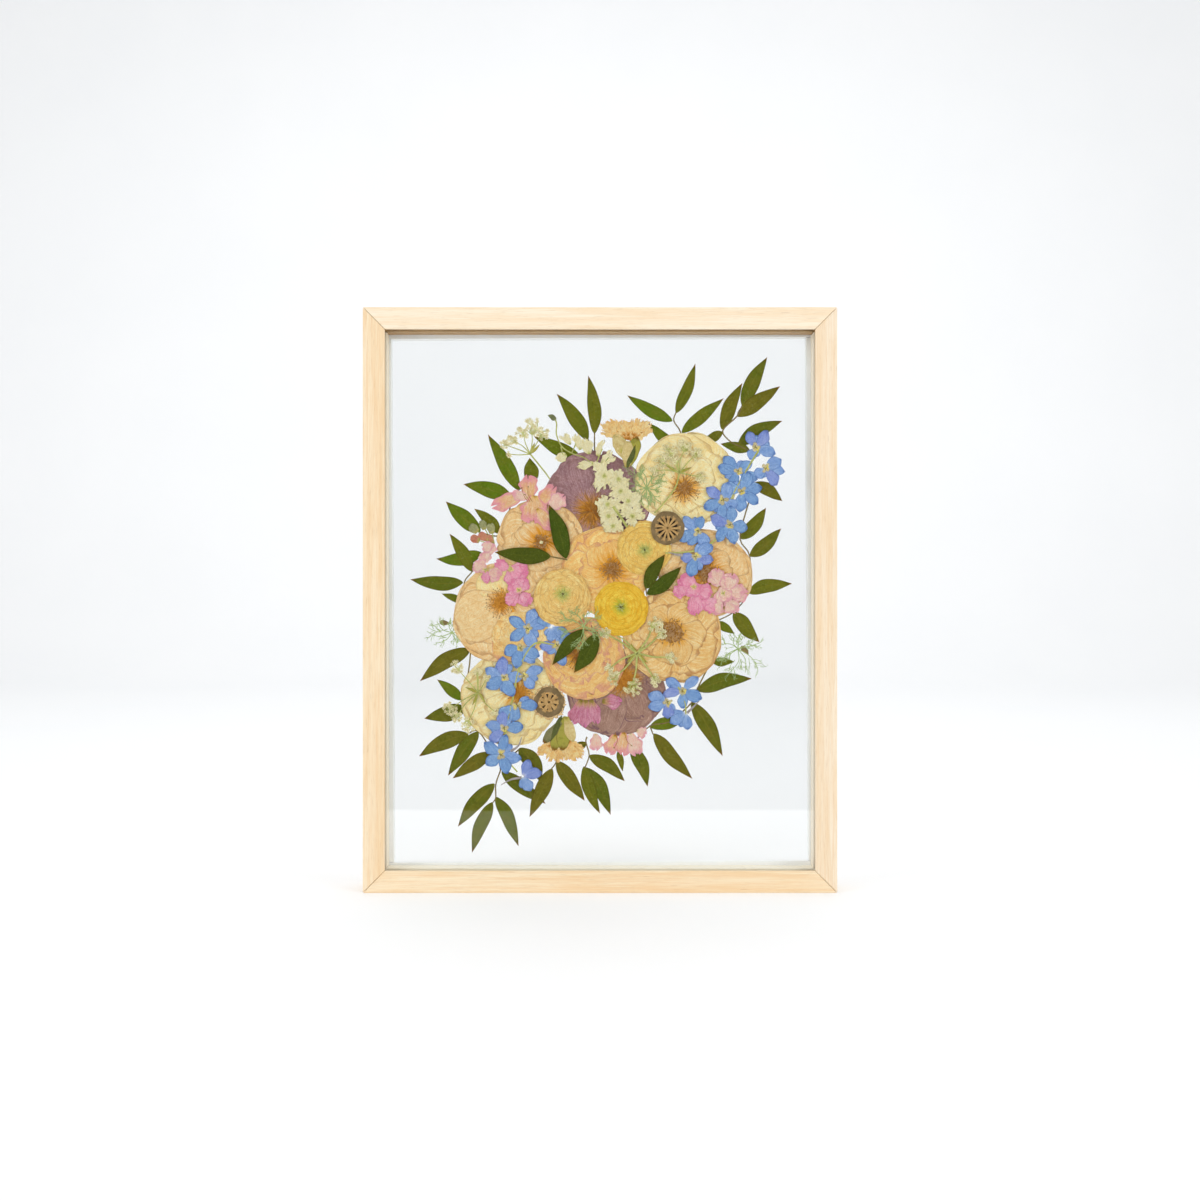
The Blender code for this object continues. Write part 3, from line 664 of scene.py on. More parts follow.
@dataclass
class Petal:
    """One petal: from its foot towards its tip, widest where its profile says."""

    foot: Point
    tip: Point
    width: float
    depth: float = 0.0  # place in the layer, front negative
    foot_share: float = 0.4  # width at the foot as a share of the whole
    widest: float = 0.6  # where it is widest, as a share of its length
    point: float = 0.36  # 1 is a pointed tip, 0.5 a round one, less a blunt one
    notch: float = 0.0
    ruffle: float = 0.05
    cup: float = -0.02
    bow: float = 0.0
    rows: int = 10
    columns: int = 11
    thick: float = 0.02

    def axis(self) -> tuple[np.ndarray, float, np.ndarray, np.ndarray]:
        """Returns the foot, the length, and the directions along and across."""
        foot, tip = np.array(self.foot, float), np.array(self.tip, float)
        length = float(np.hypot(*(tip - foot)))
        ahead = (tip - foot) / length
        return foot, length, ahead, np.array((-ahead[1], ahead[0]))

    def lay(self, pile: Pile, finish: "Finish", heart: Point | None = None, wave: float = 0.08,
            hold: tuple | None = None, tone: float | None = None) -> None:
        """Adds the petal to a pile.

        Args:
            pile: the pile it joins.
            finish: what it is made of.
            heart: the middle of its flower.
            wave: how much it follows the pile's unevenness, in millimetres.
            hold: an ellipse (x, z, half width, half height) that it stays within.
            tone: its own shade from 0 to 1, or a random one.
        """
        foot, length, ahead, aside = self.axis()
        s = (np.linspace(0.0, 1.0, self.rows) ** 0.85)[:, None] * np.ones((1, self.columns))
        t = np.linspace(-1.0, 1.0, self.columns)[None, :] * np.ones((self.rows, 1))
        rise = np.clip(s / self.widest, 0, 1)
        fall = np.clip((s - self.widest) / (1.0 - self.widest), 0, 0.985)
        swelling = self.foot_share + (1 - self.foot_share) * np.sin(rise * math.pi / 2)
        profile = swelling * (1 - fall**2) ** self.point
        draw = pile.random
        lobes = draw.choice((5, 6, 7))
        shift = draw.uniform(0, TURN)
        edge = np.abs(t) ** 4
        swing = 1 + self.ruffle * edge * np.sin(s * lobes * 2 + shift + t)
        half = self.width / 2 * profile * swing
        reach = s * length * (1 - self.notch * np.exp(-(t * 3.2) ** 2) * s**6)
        reach = reach * (1 + self.ruffle * 0.6 * s**4 * np.sin(t * lobes + shift))
        bow = self.bow * np.sin(math.pi * s)
        side = t * half + bow
        x = foot[0] + ahead[0] * reach + aside[0] * side
        z = foot[1] + ahead[1] * reach + aside[1] * side
        if hold:
            x, z = held_within(x, z, hold)
        curl = draw.uniform(0.6, 1.2) * self.cup
        y = (self.depth - wave * pile.swell(x, z, 5.0) * 0.6 - wave * 0.4 * pile.swell(x, z, 1.9)
             + curl * (edge + s**5) * 0.5)
        tone = draw.random() if tone is None else tone
        centre = heart or self.foot
        far = np.hypot(x - centre[0], z - centre[1])
        values = np.stack([t, s, np.full_like(s, tone)], -1)
        pile.closed_grid(np.stack([x, y, z], -1), values, far, self.thick, finish)


def held_within(x: np.ndarray, z: np.ndarray, hold: tuple) -> tuple[np.ndarray, np.ndarray]:
    """Draws points that lie outside an ellipse back to its edge.

    Args:
        x: their x.
        z: their z.
        hold: the ellipse's middle x, z, half width and half height.

    Returns:
        The new x and z.
    """
    middle_x, middle_z, wide, high = hold
    turn = np.arctan2(z - middle_z, x - middle_x)
    uneven = 1 + 0.022 * np.sin(3 * turn + middle_x) + 0.014 * np.sin(8 * turn + middle_z)
    far = np.hypot((x - middle_x) / wide, (z - middle_z) / high) / uneven
    kept = np.where(far > 0.86, 0.86 + 0.14 * np.tanh((far - 0.86) / 0.14), far)
    share = kept / np.maximum(far, 1e-6)
    return middle_x + (x - middle_x) * share, middle_z + (z - middle_z) * share


@dataclass
class Thread:
    """A stem, stamen or ray: a thin round rod that tapers along its route."""

    route: list[Point]
    start: float = 2.6  # thickness at either end
    end: float = 0.3
    depth: float = 0.12
    flat: float = 0.5  # how far pressing has flattened it
    sides: int = 6

    def lay(self, pile: Pile, finish: "Finish", tone: float = 0.5) -> None:
        """Adds the rod to a pile.

        Args:
            pile: the pile it joins.
            finish: what it is made of.
            tone: its own shade from 0 to 1.
        """
        path = smooth_route(self.route, 2 if self.start < 0.6 else 4)
        count = len(path)
        along = np.gradient(path, axis=0)
        along /= np.maximum(np.linalg.norm(along, axis=1), 1e-9)[:, None]
        aside = np.stack([-along[:, 1], along[:, 0]], -1)
        turn = np.linspace(0, 2 * math.pi, self.sides, endpoint=False)
        radius = np.linspace(self.start, self.end, count)[:, None] / 2
        across = np.cos(turn)[None, :] * radius
        x = path[:, :1] + aside[:, :1] * across
        z = path[:, 1:] + aside[:, 1:] * across
        y = self.depth + np.sin(turn)[None, :] * np.minimum(radius * self.flat, 0.16)
        points = np.stack([x, y, z], -1).reshape(-1, 3)
        index = np.arange(count * self.sides).reshape(count, self.sides)
        around = np.roll(index, -1, axis=1)
        quads = np.stack([index[:-1], around[:-1], around[1:], index[1:]], -1).reshape(-1, 4)
        pile.tube(points, quads, index, tone, finish)


def smooth_route(route: list[Point], steps: int = 4) -> np.ndarray:
    """Returns points on a smooth curve through a route.

    Args:
        route: the points that it passes through.
        steps: how many pieces each stretch is cut into.

    Returns:
        The curve's points.
    """
    given = np.array(route, float)
    if len(given) < 3:
        return given
    padded = np.concatenate([2 * given[:1] - given[1:2], given, 2 * given[-1:] - given[-2:-1]])
    made = []
    for number in range(len(given) - 1):
        a, b, c, d = padded[number:number + 4]
        for share in np.arange(steps) / steps:
            made.append(0.5 * (2 * b + (c - a) * share + (2 * a - 5 * b + 4 * c - d) * share**2
                               + (3 * b - a - 3 * c + d) * share**3))
    made.append(given[-1])
    return np.array(made)


def bead(pile: Pile, x: float, z: float, wide: float, high: float, finish: "Finish",
         depth: float = -0.17, thick: float = 0.05, turn: float = 0.0, tone: float = 0.5) -> None:
    """Adds a small pressed lump, such as an anther or a bud.

    Args:
        pile: the pile it joins.
        x: its middle across.
        z: its middle upwards.
        wide: half its width.
        high: half its height.
        finish: what it is made of.
        depth: its place in the layer.
        thick: half its thickness.
        turn: how far it is turned, in radians.
        tone: its own shade from 0 to 1.
    """
    rings, sides = (3, 6) if wide < 1.2 else (4, 10)
    polar = np.linspace(0.25, math.pi - 0.25, rings)[:, None]
    around = np.linspace(0, 2 * math.pi, sides, endpoint=False)[None, :]
    across = np.sin(polar) * np.cos(around) * wide
    up = np.sin(polar) * np.sin(around) * high
    px = x + across * math.cos(turn) - up * math.sin(turn)
    pz = z + across * math.sin(turn) + up * math.cos(turn)
    py = depth - np.cos(polar) * thick * np.ones_like(around)
    points = np.stack([px, py, pz], -1).reshape(-1, 3)
    index = np.arange(rings * sides).reshape(rings, sides)
    beside = np.roll(index, -1, axis=1)
    quads = np.stack([index[:-1], index[1:], beside[1:], beside[:-1]], -1).reshape(-1, 4)
    pile.tube(points, quads, index, tone, finish)


COOL = (0.82, 0.86, 0.95)  # what the veins and creases of blue petals keep of each colour, partly painted shade in the creases
ROSY = (0.98, 0.8, 0.88)  # what the veins and creases of pink petals keep, partly painted shade in the creases


class Finish(Enum):
    """Every petal, leaf and dry finish of the bouquet."""

    CREAM = PetalFinish("cream petal", "fffad4", "fef0ba", "d8b070", "f0aa3c", "b87820", reach=20)
    TAN = PetalFinish("tan petal", "feecc0", "f6d69c", "c8925e", "ea9c22", "a0621e")
    PEACH = PetalFinish("peach petal", "ffe8a4", "fad082", "da9074", "ea9e2a", "a4641e", reach=21)
    ORANGE = PetalFinish("orange petal", "fff2c0", "ffe2a0", "e4a864", "e09844", "b87830", reach=5,
        crease_share=0.7)
    FOLDED = PetalFinish("folded peach petal", "ffe9ac", "f6d28e", "dc9080", "eaa42c", "a4641e", reach=17,
        vein_share=0.7, vein_density=16.0, ringed=True, edge_width=0.14)
    SMOOTH = PetalFinish("smooth tan petal", "fee8b6", "f5d69c", "c8905c", "eaa030", "a0621e", reach=14,
        vein_share=0.35, mottle=0.3, edge_width=0.07)
    GOLD = PetalFinish("golden petal", "feeab6", "f4d492", "bc7c4c", "eaa42c", "9a6420", reach=20,
        vein_share=0.7, vein_density=14.0)
    MAUVE = PetalFinish("mauve petal", "d4aeae", "ae8a92", "96706a", "d08e2c", "a05e18", reach=21)
    MAUVE_LOWER = PetalFinish("lower mauve petal", "ceaa98", "a88476", "7e5a64", "d49638", "b06a18",
        reach=20, vein_share=0.5, crease_share=0.3, edge_width=0.05, edge_share=0.9)
    YELLOW = PetalFinish("yellow petal", "ffe664", "f6d040", "dca024", "c4bc3c", "80802a", reach=10,
        vein_density=14.0, edge_share=0.6, ringed=True)
    BUTTER = PetalFinish("butter petal", "ffec96", "f4d070", "d8a85c", "cec066", "8a8a34", reach=10,
        vein_density=14.0, mottle=0.4, ringed=True)
    HONEY = PetalFinish("honey petal", "feeaa6", "f5d484", "d4a25c", "c2bc60", "808232", reach=10,
        vein_density=14.0, mottle=0.4, ringed=True)
    BLUE = PetalFinish("blue petal", "b4d4f2", "8ab4e4", "4468b2", "b8d2f6", "dedccc", reach=4.5,
        vein_density=8.0, mottle=0.4, edge_width=0.2, edge_share=0.75, crease_scale=260.0, vein_tint_and_crease_shade=COOL)
    PALE_BLUE = PetalFinish("pale blue petal", "c0d8f6", "98bcea", "4c74bc", "c4d8f6", "dedccc", reach=4.5,
        vein_density=8.0, mottle=0.4, edge_width=0.2, crease_scale=260.0, vein_tint_and_crease_shade=COOL)
    BEE = PetalFinish("bee petal", "f6f0cc", "d4c8a0", "a89878", "ecde88", "b8a038", reach=2.0,
        vein_density=6.0)
    PINK = PetalFinish("pink petal", "ffd8e0", "fbb0c8", "f07ca8", "f6d0a0", "e0bc60", reach=3.6,
        vein_density=8.0, crease_scale=320.0, edge_width=0.3, vein_tint_and_crease_shade=ROSY)
    PALE_PINK = PetalFinish("pale pink petal", "fff2dc", "fcd8c8", "f298b4", "f4d8b0", "e0c488", reach=3.2,
        vein_density=8.0, crease_scale=320.0, edge_width=0.35, vein_tint_and_crease_shade=ROSY)
    BLUSH = PetalFinish("blush petal", "feecc8", "f6d2a8", "f08cb0", "f2c474", "c08c3c", reach=6,
        vein_share=0.8, vein_density=9.0, mottle=0.6, crease_scale=240.0, edge_width=0.5)
    LAVENDER = PetalFinish("lavender petal", "bccaf2", "98aee8", "566cb8", "c8ccf0", "dedccc", reach=4.5,
        vein_density=8.0, mottle=0.4, edge_width=0.2, crease_scale=260.0, vein_tint_and_crease_shade=COOL)
    CUP = PetalFinish("cup petal", "f6e8b0", "dcc888", "b8a45c", "ccbc60", "a89840", reach=6,
        vein_share=0.5, vein_density=8.0)
    STREAKED = PetalFinish("streaked petal", "f2c4d0", "dc9eb2", "dc78ae", "c8a068", "98843c", reach=9,
        vein_share=0.9, vein_density=9.0, vein_tint_and_crease_shade=ROSY)
    WHITE = PetalFinish("white petal", "fffee6", "fcf6c8", "dcd094", "dcd888", "b0b058", reach=3.5,
        vein_density=8.0, crease_scale=320.0)
    ROSE_BUD = PetalFinish("rose bud", "ecbc94", "dc9484", "b86c78", "c8b868", "98984c", reach=3,
        vein_share=0.7, vein_density=8.0)
    GREEN_BUD = PetalFinish("green bud", "dcd8a0", "aab088", "747c54", "c8b868", "98984c", reach=3,
        vein_share=0.7, vein_density=8.0)
    RUSCUS = LeafFinish("ruscus leaf", "728c18", "7e8020", "92882a")
    OLIVE_LEAF = LeafFinish("olive leaf", "727c1e", "807a20", "948230")
    DARK_LEAF = LeafFinish("dark leaf", "506414", "5c6618", "6a7222")
    CALYX = LeafFinish("calyx", "c4bc54", "b4ac48", "ccb060")
    STRAP = LeafFinish("dark strap leaf", "5e6c38", "6c7440", "807c48")
    GREY_LEAF = LeafFinish("grey green leaf", "8a9268", "9a9468", "a89c6c")
    STEM = DryFinish("brown stem", "8a7848", "6a5a34")
    GREEN_STEM = DryFinish("green stem", "c0c070", "949850")
    SPUR = DryFinish("grey spur", "a8a0a0", "8c8078")
    STAMEN = DryFinish("brown stamen", "9a6a30", "6e4418")
    GOLD_STAMEN = DryFinish("gold stamen", "c8862a", "9a5c14")
    ANTHER = DryFinish("tan anther", "b89468", "8a6038")
    FLORET = DryFinish("dry floret", "ece4b4", "c0b480")
    YELLOW_DOT = DryFinish("yellow anther", "eedd70", "d8c040")
    DARK_LINE = DryFinish("dark vein", "4c4438", "382f28")
    POD = DryFinish("pod wall", "8c7450", "685636", scale=400.0)
    POD_STAR = DryFinish("pod star", "c8a268", "9c7440")
    POD_SLOT = DryFinish("pod slot", "2c2014", "1c140c")
    FROND = DryFinish("green frond", "aabb7c", "8ca45e")
    EYE = DryFinish("dark eye", "4e3c1e", "38280f")

    def made(self) -> bpy.types.Material:
        """Returns the finish's Blender material."""
        return self.value.material()


def polar(middle: Point, angle: float, reach: float) -> Point:
    """Returns the point that lies a reach away from a middle, at an angle in radians."""
    return (middle[0] + math.cos(angle) * reach, middle[1] + math.sin(angle) * reach)


@dataclass
class Pressed:
    """One pressed piece, which stands for a solid between the panes."""

    node: str
    seed: int

    def pile(self) -> Pile:
        """Returns an empty pile in the piece's layer."""
        return Pile(Layer(self.node), self.seed)

    def build(self, pile: Pile) -> None:
        """Adds the piece's sheets to its pile."""
        raise NotImplementedError

    def make(self) -> bpy.types.Object:
        """Builds the piece and ties it to the frame.

        Returns:
            The finished object.
        """
        pile = self.pile()
        self.build(pile)
        made = pile.mesh_object(self.node.replace("rose_", "bloom_") + "_pressed")
        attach(made, "root")
        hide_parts(self.node)
        slot_of(self.node)
        LOG.info("%s: %d faces", made.name, len(made.data.polygons))
        return made


def slot_of(node: str) -> str:
    """Returns the record's material slot of a CAD node."""
    return next(part["material_slot"] for part in frame["record"]["subparts"] if part["node"] == node)


class Heart(Enum):
    """What the middle of a bloom looks like."""

    RING = "a brown ring round a light dot"
    BUTTON = "a small round boss"
    BOSS = "a wide boss in a ring of stamens"
    THREADS = "long loose stamens"
    TORN = "ragged stamens and no boss"
    NONE = "crumpled petals only"


@dataclass
class Rose(Pressed):
    """A garden rose pressed open: broad overlapping petals round a heart of stamens."""

    finish: Finish
    heart: Point
    hold: tuple[float, float, float, float]
    kind: Heart = Heart.BUTTON
    outer: int = 7
    inner: int = 6
    turn: float = 0.0
    ruffle: float = 0.05
    boss: float = 5.0
    threads: int = 60
    thread_reach: float = 14.0
    thread_finish: Finish = Finish.STAMEN
    extras: tuple[tuple[Point, Point, float, Finish], ...] = ()

    def edge_reach(self, angle: float) -> float:
        """Returns how far the bloom's edge is from its heart at an angle."""
        x, z, wide, high = self.hold
        step = 0.0
        while math.hypot((self.heart[0] + math.cos(angle) * step - x) / wide,
                         (self.heart[1] + math.sin(angle) * step - z) / high) < 1:
            step += 0.5
        return step

    def ring(self, pile: Pile, count: int, share: float, back: float, front: float, spread: float,
             turn: float) -> None:
        """Adds one ring of petals.

        Args:
            pile: the pile they join.
            count: how many.
            share: how far they reach, as a share of the bloom.
            back: depth of the first petal.
            front: depth of the last.
            spread: their width against their even share of the ring.
            turn: angle of the first, in radians.
        """
        draw = pile.random
        order = list(range(count))
        draw.shuffle(order)
        for number, place_in_ring in enumerate(order):
            angle = turn + 2 * math.pi * place_in_ring / count + draw.uniform(-0.16, 0.16)
            reach = self.edge_reach(angle) * share * draw.uniform(0.96, 1.06)
            even_share = 2 * max(reach, 24 * share) * math.sin(math.pi / count)
            width = even_share * spread * draw.uniform(0.9, 1.15)
            depth = back + (front - back) * number / max(count - 1, 1)
            petal = Petal(self.heart, polar(self.heart, angle, reach), width, depth, foot_share=0.3,
                widest=draw.uniform(0.6, 0.7), notch=draw.choice((0.0, 0.04, 0.09)),
                ruffle=self.ruffle * 1.5, bow=draw.uniform(-2, 2), rows=20, columns=15)
            petal.lay(pile, self.finish, self.heart, 0.07, self.hold)

    def stamens(self, pile: Pile) -> None:
        """Adds the threads and anthers round the heart."""
        draw = pile.random
        inner = {Heart.BOSS: self.boss * 0.9, Heart.RING: 2.5}.get(self.kind, 1.0)
        for number in range(self.threads):
            angle = draw.uniform(0, 2 * math.pi)
            reach = self.thread_reach * draw.uniform(0.45, 1.0)
            if self.kind in (Heart.RING, Heart.BUTTON):
                reach = self.thread_reach * draw.uniform(0.3, 0.75)
            start = polar(self.heart, angle, inner)
            end = polar(self.heart, angle + draw.uniform(-0.2, 0.2), reach)
            middle = polar(self.heart, angle + draw.uniform(-0.3, 0.3), (inner + reach) / 2)
            depth = -0.13 - 0.04 * draw.random()
            finish = self.thread_finish if number % 3 else Finish.GOLD_STAMEN
            Thread([start, middle, end], start=0.45, end=0.25, depth=depth, sides=4).lay(pile, finish)
            bead(pile, *end, draw.uniform(0.45, 0.8), draw.uniform(0.35, 0.55), Finish.ANTHER,
                depth=depth - 0.02, turn=draw.uniform(0, 3.1), tone=draw.random())
        if self.kind in (Heart.THREADS, Heart.TORN, Heart.NONE):
            return
        count = int(self.boss**2 * 2.2)
        for number in range(count):
            reach = self.boss * math.sqrt((number + 0.5) / count)
            x, z = polar(self.heart, number * SPIRAL, reach)
            finish = Finish.STAMEN if draw.random() < 0.3 else Finish.ANTHER
            bead(pile, x, z, draw.uniform(0.5, 0.85), draw.uniform(0.4, 0.7), finish,
                depth=-0.17 - 0.03 * draw.random(), thick=0.06, turn=draw.uniform(0, 3.1),
                tone=draw.random())
        if self.kind is Heart.RING:
            bead(pile, *self.heart, 1.9, 1.7, Finish.FLORET, depth=-0.2, thick=0.06)

    def build(self, pile: Pile) -> None:
        """Adds the petals from the back to the front, then the heart."""
        turn = self.turn
        self.ring(pile, self.outer, share=1.04, back=0.19, front=0.06, spread=1.65, turn=turn)
        self.ring(pile, self.outer - 1, share=0.88, back=0.05, front=-0.03, spread=1.4, turn=turn + 0.5)
        self.ring(pile, self.inner, share=0.6, back=-0.035, front=-0.09, spread=1.3, turn=turn + 1.1)
        for number, (foot, tip, width, finish) in enumerate(self.extras):
            petal = Petal(foot, tip, width, -0.1 - 0.008 * number, foot_share=0.35, point=0.45,
                ruffle=self.ruffle, rows=20, columns=15)
            petal.lay(pile, finish, self.heart, 0.07, self.hold)
        if self.kind is Heart.NONE:
            draw = pile.random
            for number in range(26):
                start = polar(self.heart, draw.uniform(0, TURN), draw.uniform(0, self.hold[2] * 0.55))
                end = polar(start, draw.uniform(0, TURN), draw.uniform(7, 13))
                petal = Petal(start, end, draw.uniform(6, 12), -0.09 - 0.003 * number, point=0.45,
                    ruffle=0.12, cup=-0.03, bow=1, columns=9)
                petal.lay(pile, self.finish, self.heart, 0.08, self.hold)
        self.stamens(pile)


@dataclass
class Ranunculus(Pressed):
    """A ranunculus pressed open: rings of papery round petals with a green eye."""

    finish: Finish
    heart: Point
    hold: tuple[float, float, float, float]
    ruffle: float = 0.03

    def build(self, pile: Pile) -> None:
        """Adds five rings of petals and the eye."""
        draw = pile.random
        x, z, wide, _ = self.hold
        depth = 0.19
        for count, share in ((9, 1.0), (9, 0.9), (8, 0.74), (7, 0.55), (6, 0.38)):
            turn = draw.uniform(0, TURN)
            for number in range(count):
                angle = turn + 2 * math.pi * number / count
                reach = wide * share * draw.uniform(0.96, 1.05)
                tip = (x + math.cos(angle) * reach, z + math.sin(angle) * reach)
                width = 2 * reach * math.sin(math.pi / count) * 1.75
                petal = Petal(self.heart, tip, width, depth, foot_share=0.35, widest=0.68, point=0.4,
                    ruffle=self.ruffle, cup=-0.015, bow=draw.uniform(-1, 1), rows=14, thick=0.015)
                petal.lay(pile, self.finish, self.heart, 0.05, self.hold)
                depth -= 0.0085
        for _ in range(46):
            angle, reach = draw.uniform(0, TURN), draw.uniform(2.2, 5.2)
            rod = Thread([polar(self.heart, angle, 0.8), polar(self.heart, angle + 0.15, reach)],
                start=0.4, depth=-0.17, sides=4)
            rod.lay(pile, Finish.GREEN_STEM)
        seeds = 22
        for number in range(seeds):
            x, z = polar(self.heart, number * SPIRAL, 1.5 * math.sqrt(number / seeds))
            bead(pile, x, z, 0.5, 0.4, Finish.EYE, depth=-0.19, turn=number, tone=draw.random())


class Leaf(Petal):
    """A ruscus leaf: drawn out to a point, with its fullest part below its middle."""

    def lay(self, pile: Pile, finish: "Finish", heart: Point | None = None, wave: float = 0.05,
            hold: tuple | None = None, tone: float | None = None) -> None:
        """Adds the leaf and its raised midrib to a pile."""
        foot, length, ahead, aside = self.axis()
        s = np.linspace(0.006, 0.992, self.rows)[:, None] * np.ones((1, self.columns))
        t = np.linspace(-1.0, 1.0, self.columns)[None, :] * np.ones((self.rows, 1))
        rise, fall = 0.75, 1.1
        peak = rise / (rise + fall)
        half = self.width / 2 * s**rise * (1 - s)**fall / (peak**rise * (1 - peak)**fall)
        draw = pile.random
        shift, sway = draw.uniform(0, TURN), draw.uniform(-0.35, 0.35)
        half = half * (1 + 0.035 * np.sin(s * 11 + shift + t * 2))
        side = t * half + self.bow * np.sin(math.pi * s) + sway * np.sin(s * 7 + shift)
        x = foot[0] + ahead[0] * s * length + aside[0] * side
        z = foot[1] + ahead[1] * s * length + aside[1] * side
        crown = 0.05 * np.exp(-(t * 5) ** 2) * (1 - s)
        y = self.depth - wave * pile.swell(x, z, 6.0) - crown + 0.02 * t**2
        tone = draw.random() if tone is None else tone
        values = np.stack([t, s, np.full_like(s, tone)], -1)
        pile.closed_grid(np.stack([x, y, z], -1), values, s * length, self.thick, finish)


# Leaves: foot, tip, width and sideways bow of the midrib, in millimetres from the middle of the
# glass; then the stems that join them
RUSCUS: dict[str, tuple[list, list]] = {
    "ruscus_top": (
        [((-5, 153), (-11, 207), 12.5, -2.5), ((-11, 147), (-40, 190), 14, -2),
         ((-18, 132), (-61, 151), 13, 1.5)],
        [[(-4, 126), (-5, 140), (-5, 154)], [(-5, 132), (-11, 148)], [(-4, 126), (-18, 132)]],
    ),
    "ruscus_top_right": (
        [((67, 165), (25, 189), 12, 2), ((70, 172), (88, 218), 11, -1.5), ((75, 154), (114, 186), 12, 0),
         ((68, 141), (44, 163), 10, 0)],
        [[(76, 140), (74, 155), (68, 165), (70, 173)], [(76, 140), (68, 141)]],
    ),
    "ruscus_upper_right": (
        [((112, 157), (131, 200), 13, 1.5), ((131, 178), (154, 224), 14, 1.5),
         ((126, 169), (166, 197), 14, 0), ((127, 143), (168, 165), 14, 2.5),
         ((138, 138), (111, 144), 10, 0), ((113, 155), (93, 143), 9, 0)],
        [[(131, 179), (126, 169), (113, 156), (120, 146), (128, 142), (139, 137)]],
    ),
    "ruscus_right": (
        [((142, 108), (168, 91), 12, 1.5), ((130, 56), (153, 85), 13, -1.5),
         ((138, 40), (167, 66), 13, -1.5), ((136, 7), (177, 15), 13, 2.5), ((123, -11), (147, -39), 14, -1),
         ((107, -20), (124, -31), 8, 0)],
        [[(143, 108), (134, 80), (129, 56), (138, 40), (136, 7), (123, -11), (106, -20)]],
    ),
    "ruscus_lower_right": (
        [((103, -57), (124, -57), 8, 0), ((89, -83), (140, -72), 15, 3), ((84, -94), (113, -144), 15, 2),
         ((46, -117), (82, -108), 12, 0), ((49, -123), (85, -165), 14, -1), ((29, -133), (44, -172), 13, 2),
         ((17, -138), (21, -158), 6, 0)],
        [[(102, -57), (89, -83), (84, -95), (64, -112), (46, -116), (29, -133), (17, -138)],
         [(46, -116), (49, -124)]],
    ),
    "ruscus_bottom": (
        [((-10, -143), (23, -167), 13, 2.5), ((-13, -154), (10, -198), 14, 2.5),
         ((-15, -153), (0, -197), 12, -2), ((-13, -131), (-26, -140), 8, 0)],
        [[(-12, -126), (-13, -131), (-10, -143), (-14, -155)]],
    ),
    "ruscus_bottom_centre": (
        [((-40, -148), (-14, -185), 14, 0), ((-44, -155), (-65, -200), 14, 0)],
        [[(-42, -138), (-40, -148), (-45, -156)]],
    ),
    "ruscus_bottom_left": (
        [((-97, -169), (-131, -209), 14, -2), ((-99, -186), (-118, -233), 12.5, -2),
         ((-96, -181), (-75, -227), 12.5, 2), ((-91, -158), (-50, -188), 13, 0),
         ((-74, -136), (-54, -168), 16, 3)],
        [[(-74, -137), (-90, -152), (-92, -158), (-96, -170), (-96, -182), (-99, -187)]],
    ),
    "ruscus_lower_left": (
        [((-121, -123), (-167, -144), 15, -2.5), ((-112, -121), (-140, -162), 14, -1),
         ((-100, -140), (-136, -164), 13, 0)],
        [[(-122, -123), (-112, -121), (-99, -140)]],
    ),
    "ruscus_left": (
        [((-123, -99), (-162, -109), 15, 1), ((-126, -92), (-150, -73), 10, 0),
         ((-119, -45), (-166, -75), 15, -3), ((-124, -2), (-146, 6), 7, 0),
         ((-126, 16), (-175, 19), 13.5, 2), ((-108, 43), (-151, 38), 13, 3),
         ((-118, 26), (-139, 61), 12, -2)],
        [[(-122, -99), (-125, -92), (-119, -46), (-123, -2), (-125, 16), (-117, 27), (-107, 43)]],
    ),
    "ruscus_upper_left": (
        [((-110, 63), (-142, 91), 15, 1), ((-92, 61), (-116, 84), 11, -2), ((-81, 95), (-126, 107), 15, -1),
         ((-74, 101), (-103, 153), 14, 0), ((-62, 108), (-65, 131), 14, 0)],
        [[(-111, 62), (-91, 61), (-80, 95), (-74, 102), (-62, 109)]],
    ),
    "ruscus_pair_upper": (
        [((-31, 38), (-47, 88), 16, -1.5), ((-45, 40), (-97, 44), 15.5, 1)],
        [[(-30, 37), (-46, 40)]],
    ),
    "ruscus_pair_right": (
        [((42, 10), (60, 42), 12.5, 2), ((43, 5), (75, 31), 13, -2)],
        [[(42, 11), (43, 4)]],
    ),
    "ruscus_pair_lower": (
        [((-3, -31), (-24, -67), 16, 2), ((-15, -27), (-44, -60), 13, -1)],
        [[(-2, -30), (-16, -27)]],
    ),
}


@dataclass
class Spray(Pressed):
    """A spray of ruscus leaves on its brown stems."""

    finish: Finish = Finish.RUSCUS

    def build(self, pile: Pile) -> None:
        """Adds each leaf, a little further forward than the last, and the stems in front."""
        leaves, stems = RUSCUS[self.node]
        for number, (foot, tip, width, bow) in enumerate(leaves):
            depth = 0.12 - 0.22 * number / len(leaves)
            finish = self.finish
            if finish is Finish.RUSCUS and pile.random.random() < 0.3:
                finish = Finish.OLIVE_LEAF
            leaf = Leaf(foot, tip, width, depth=depth, bow=bow, rows=26, thick=0.04)
            leaf.lay(pile, finish, tone=pile.random.random())
        for route in stems:
            Thread(route, start=1.4, end=1.1, depth=-0.04).lay(pile, Finish.STEM)


@dataclass
class Floret:
    """One delphinium floret: its middle and the middles of its petals, then its spur."""

    middle: Point
    petals: list[Point]
    finish: Finish = Finish.BLUE
    face: bool = True
    spur: list[Point] = field(default_factory=list)


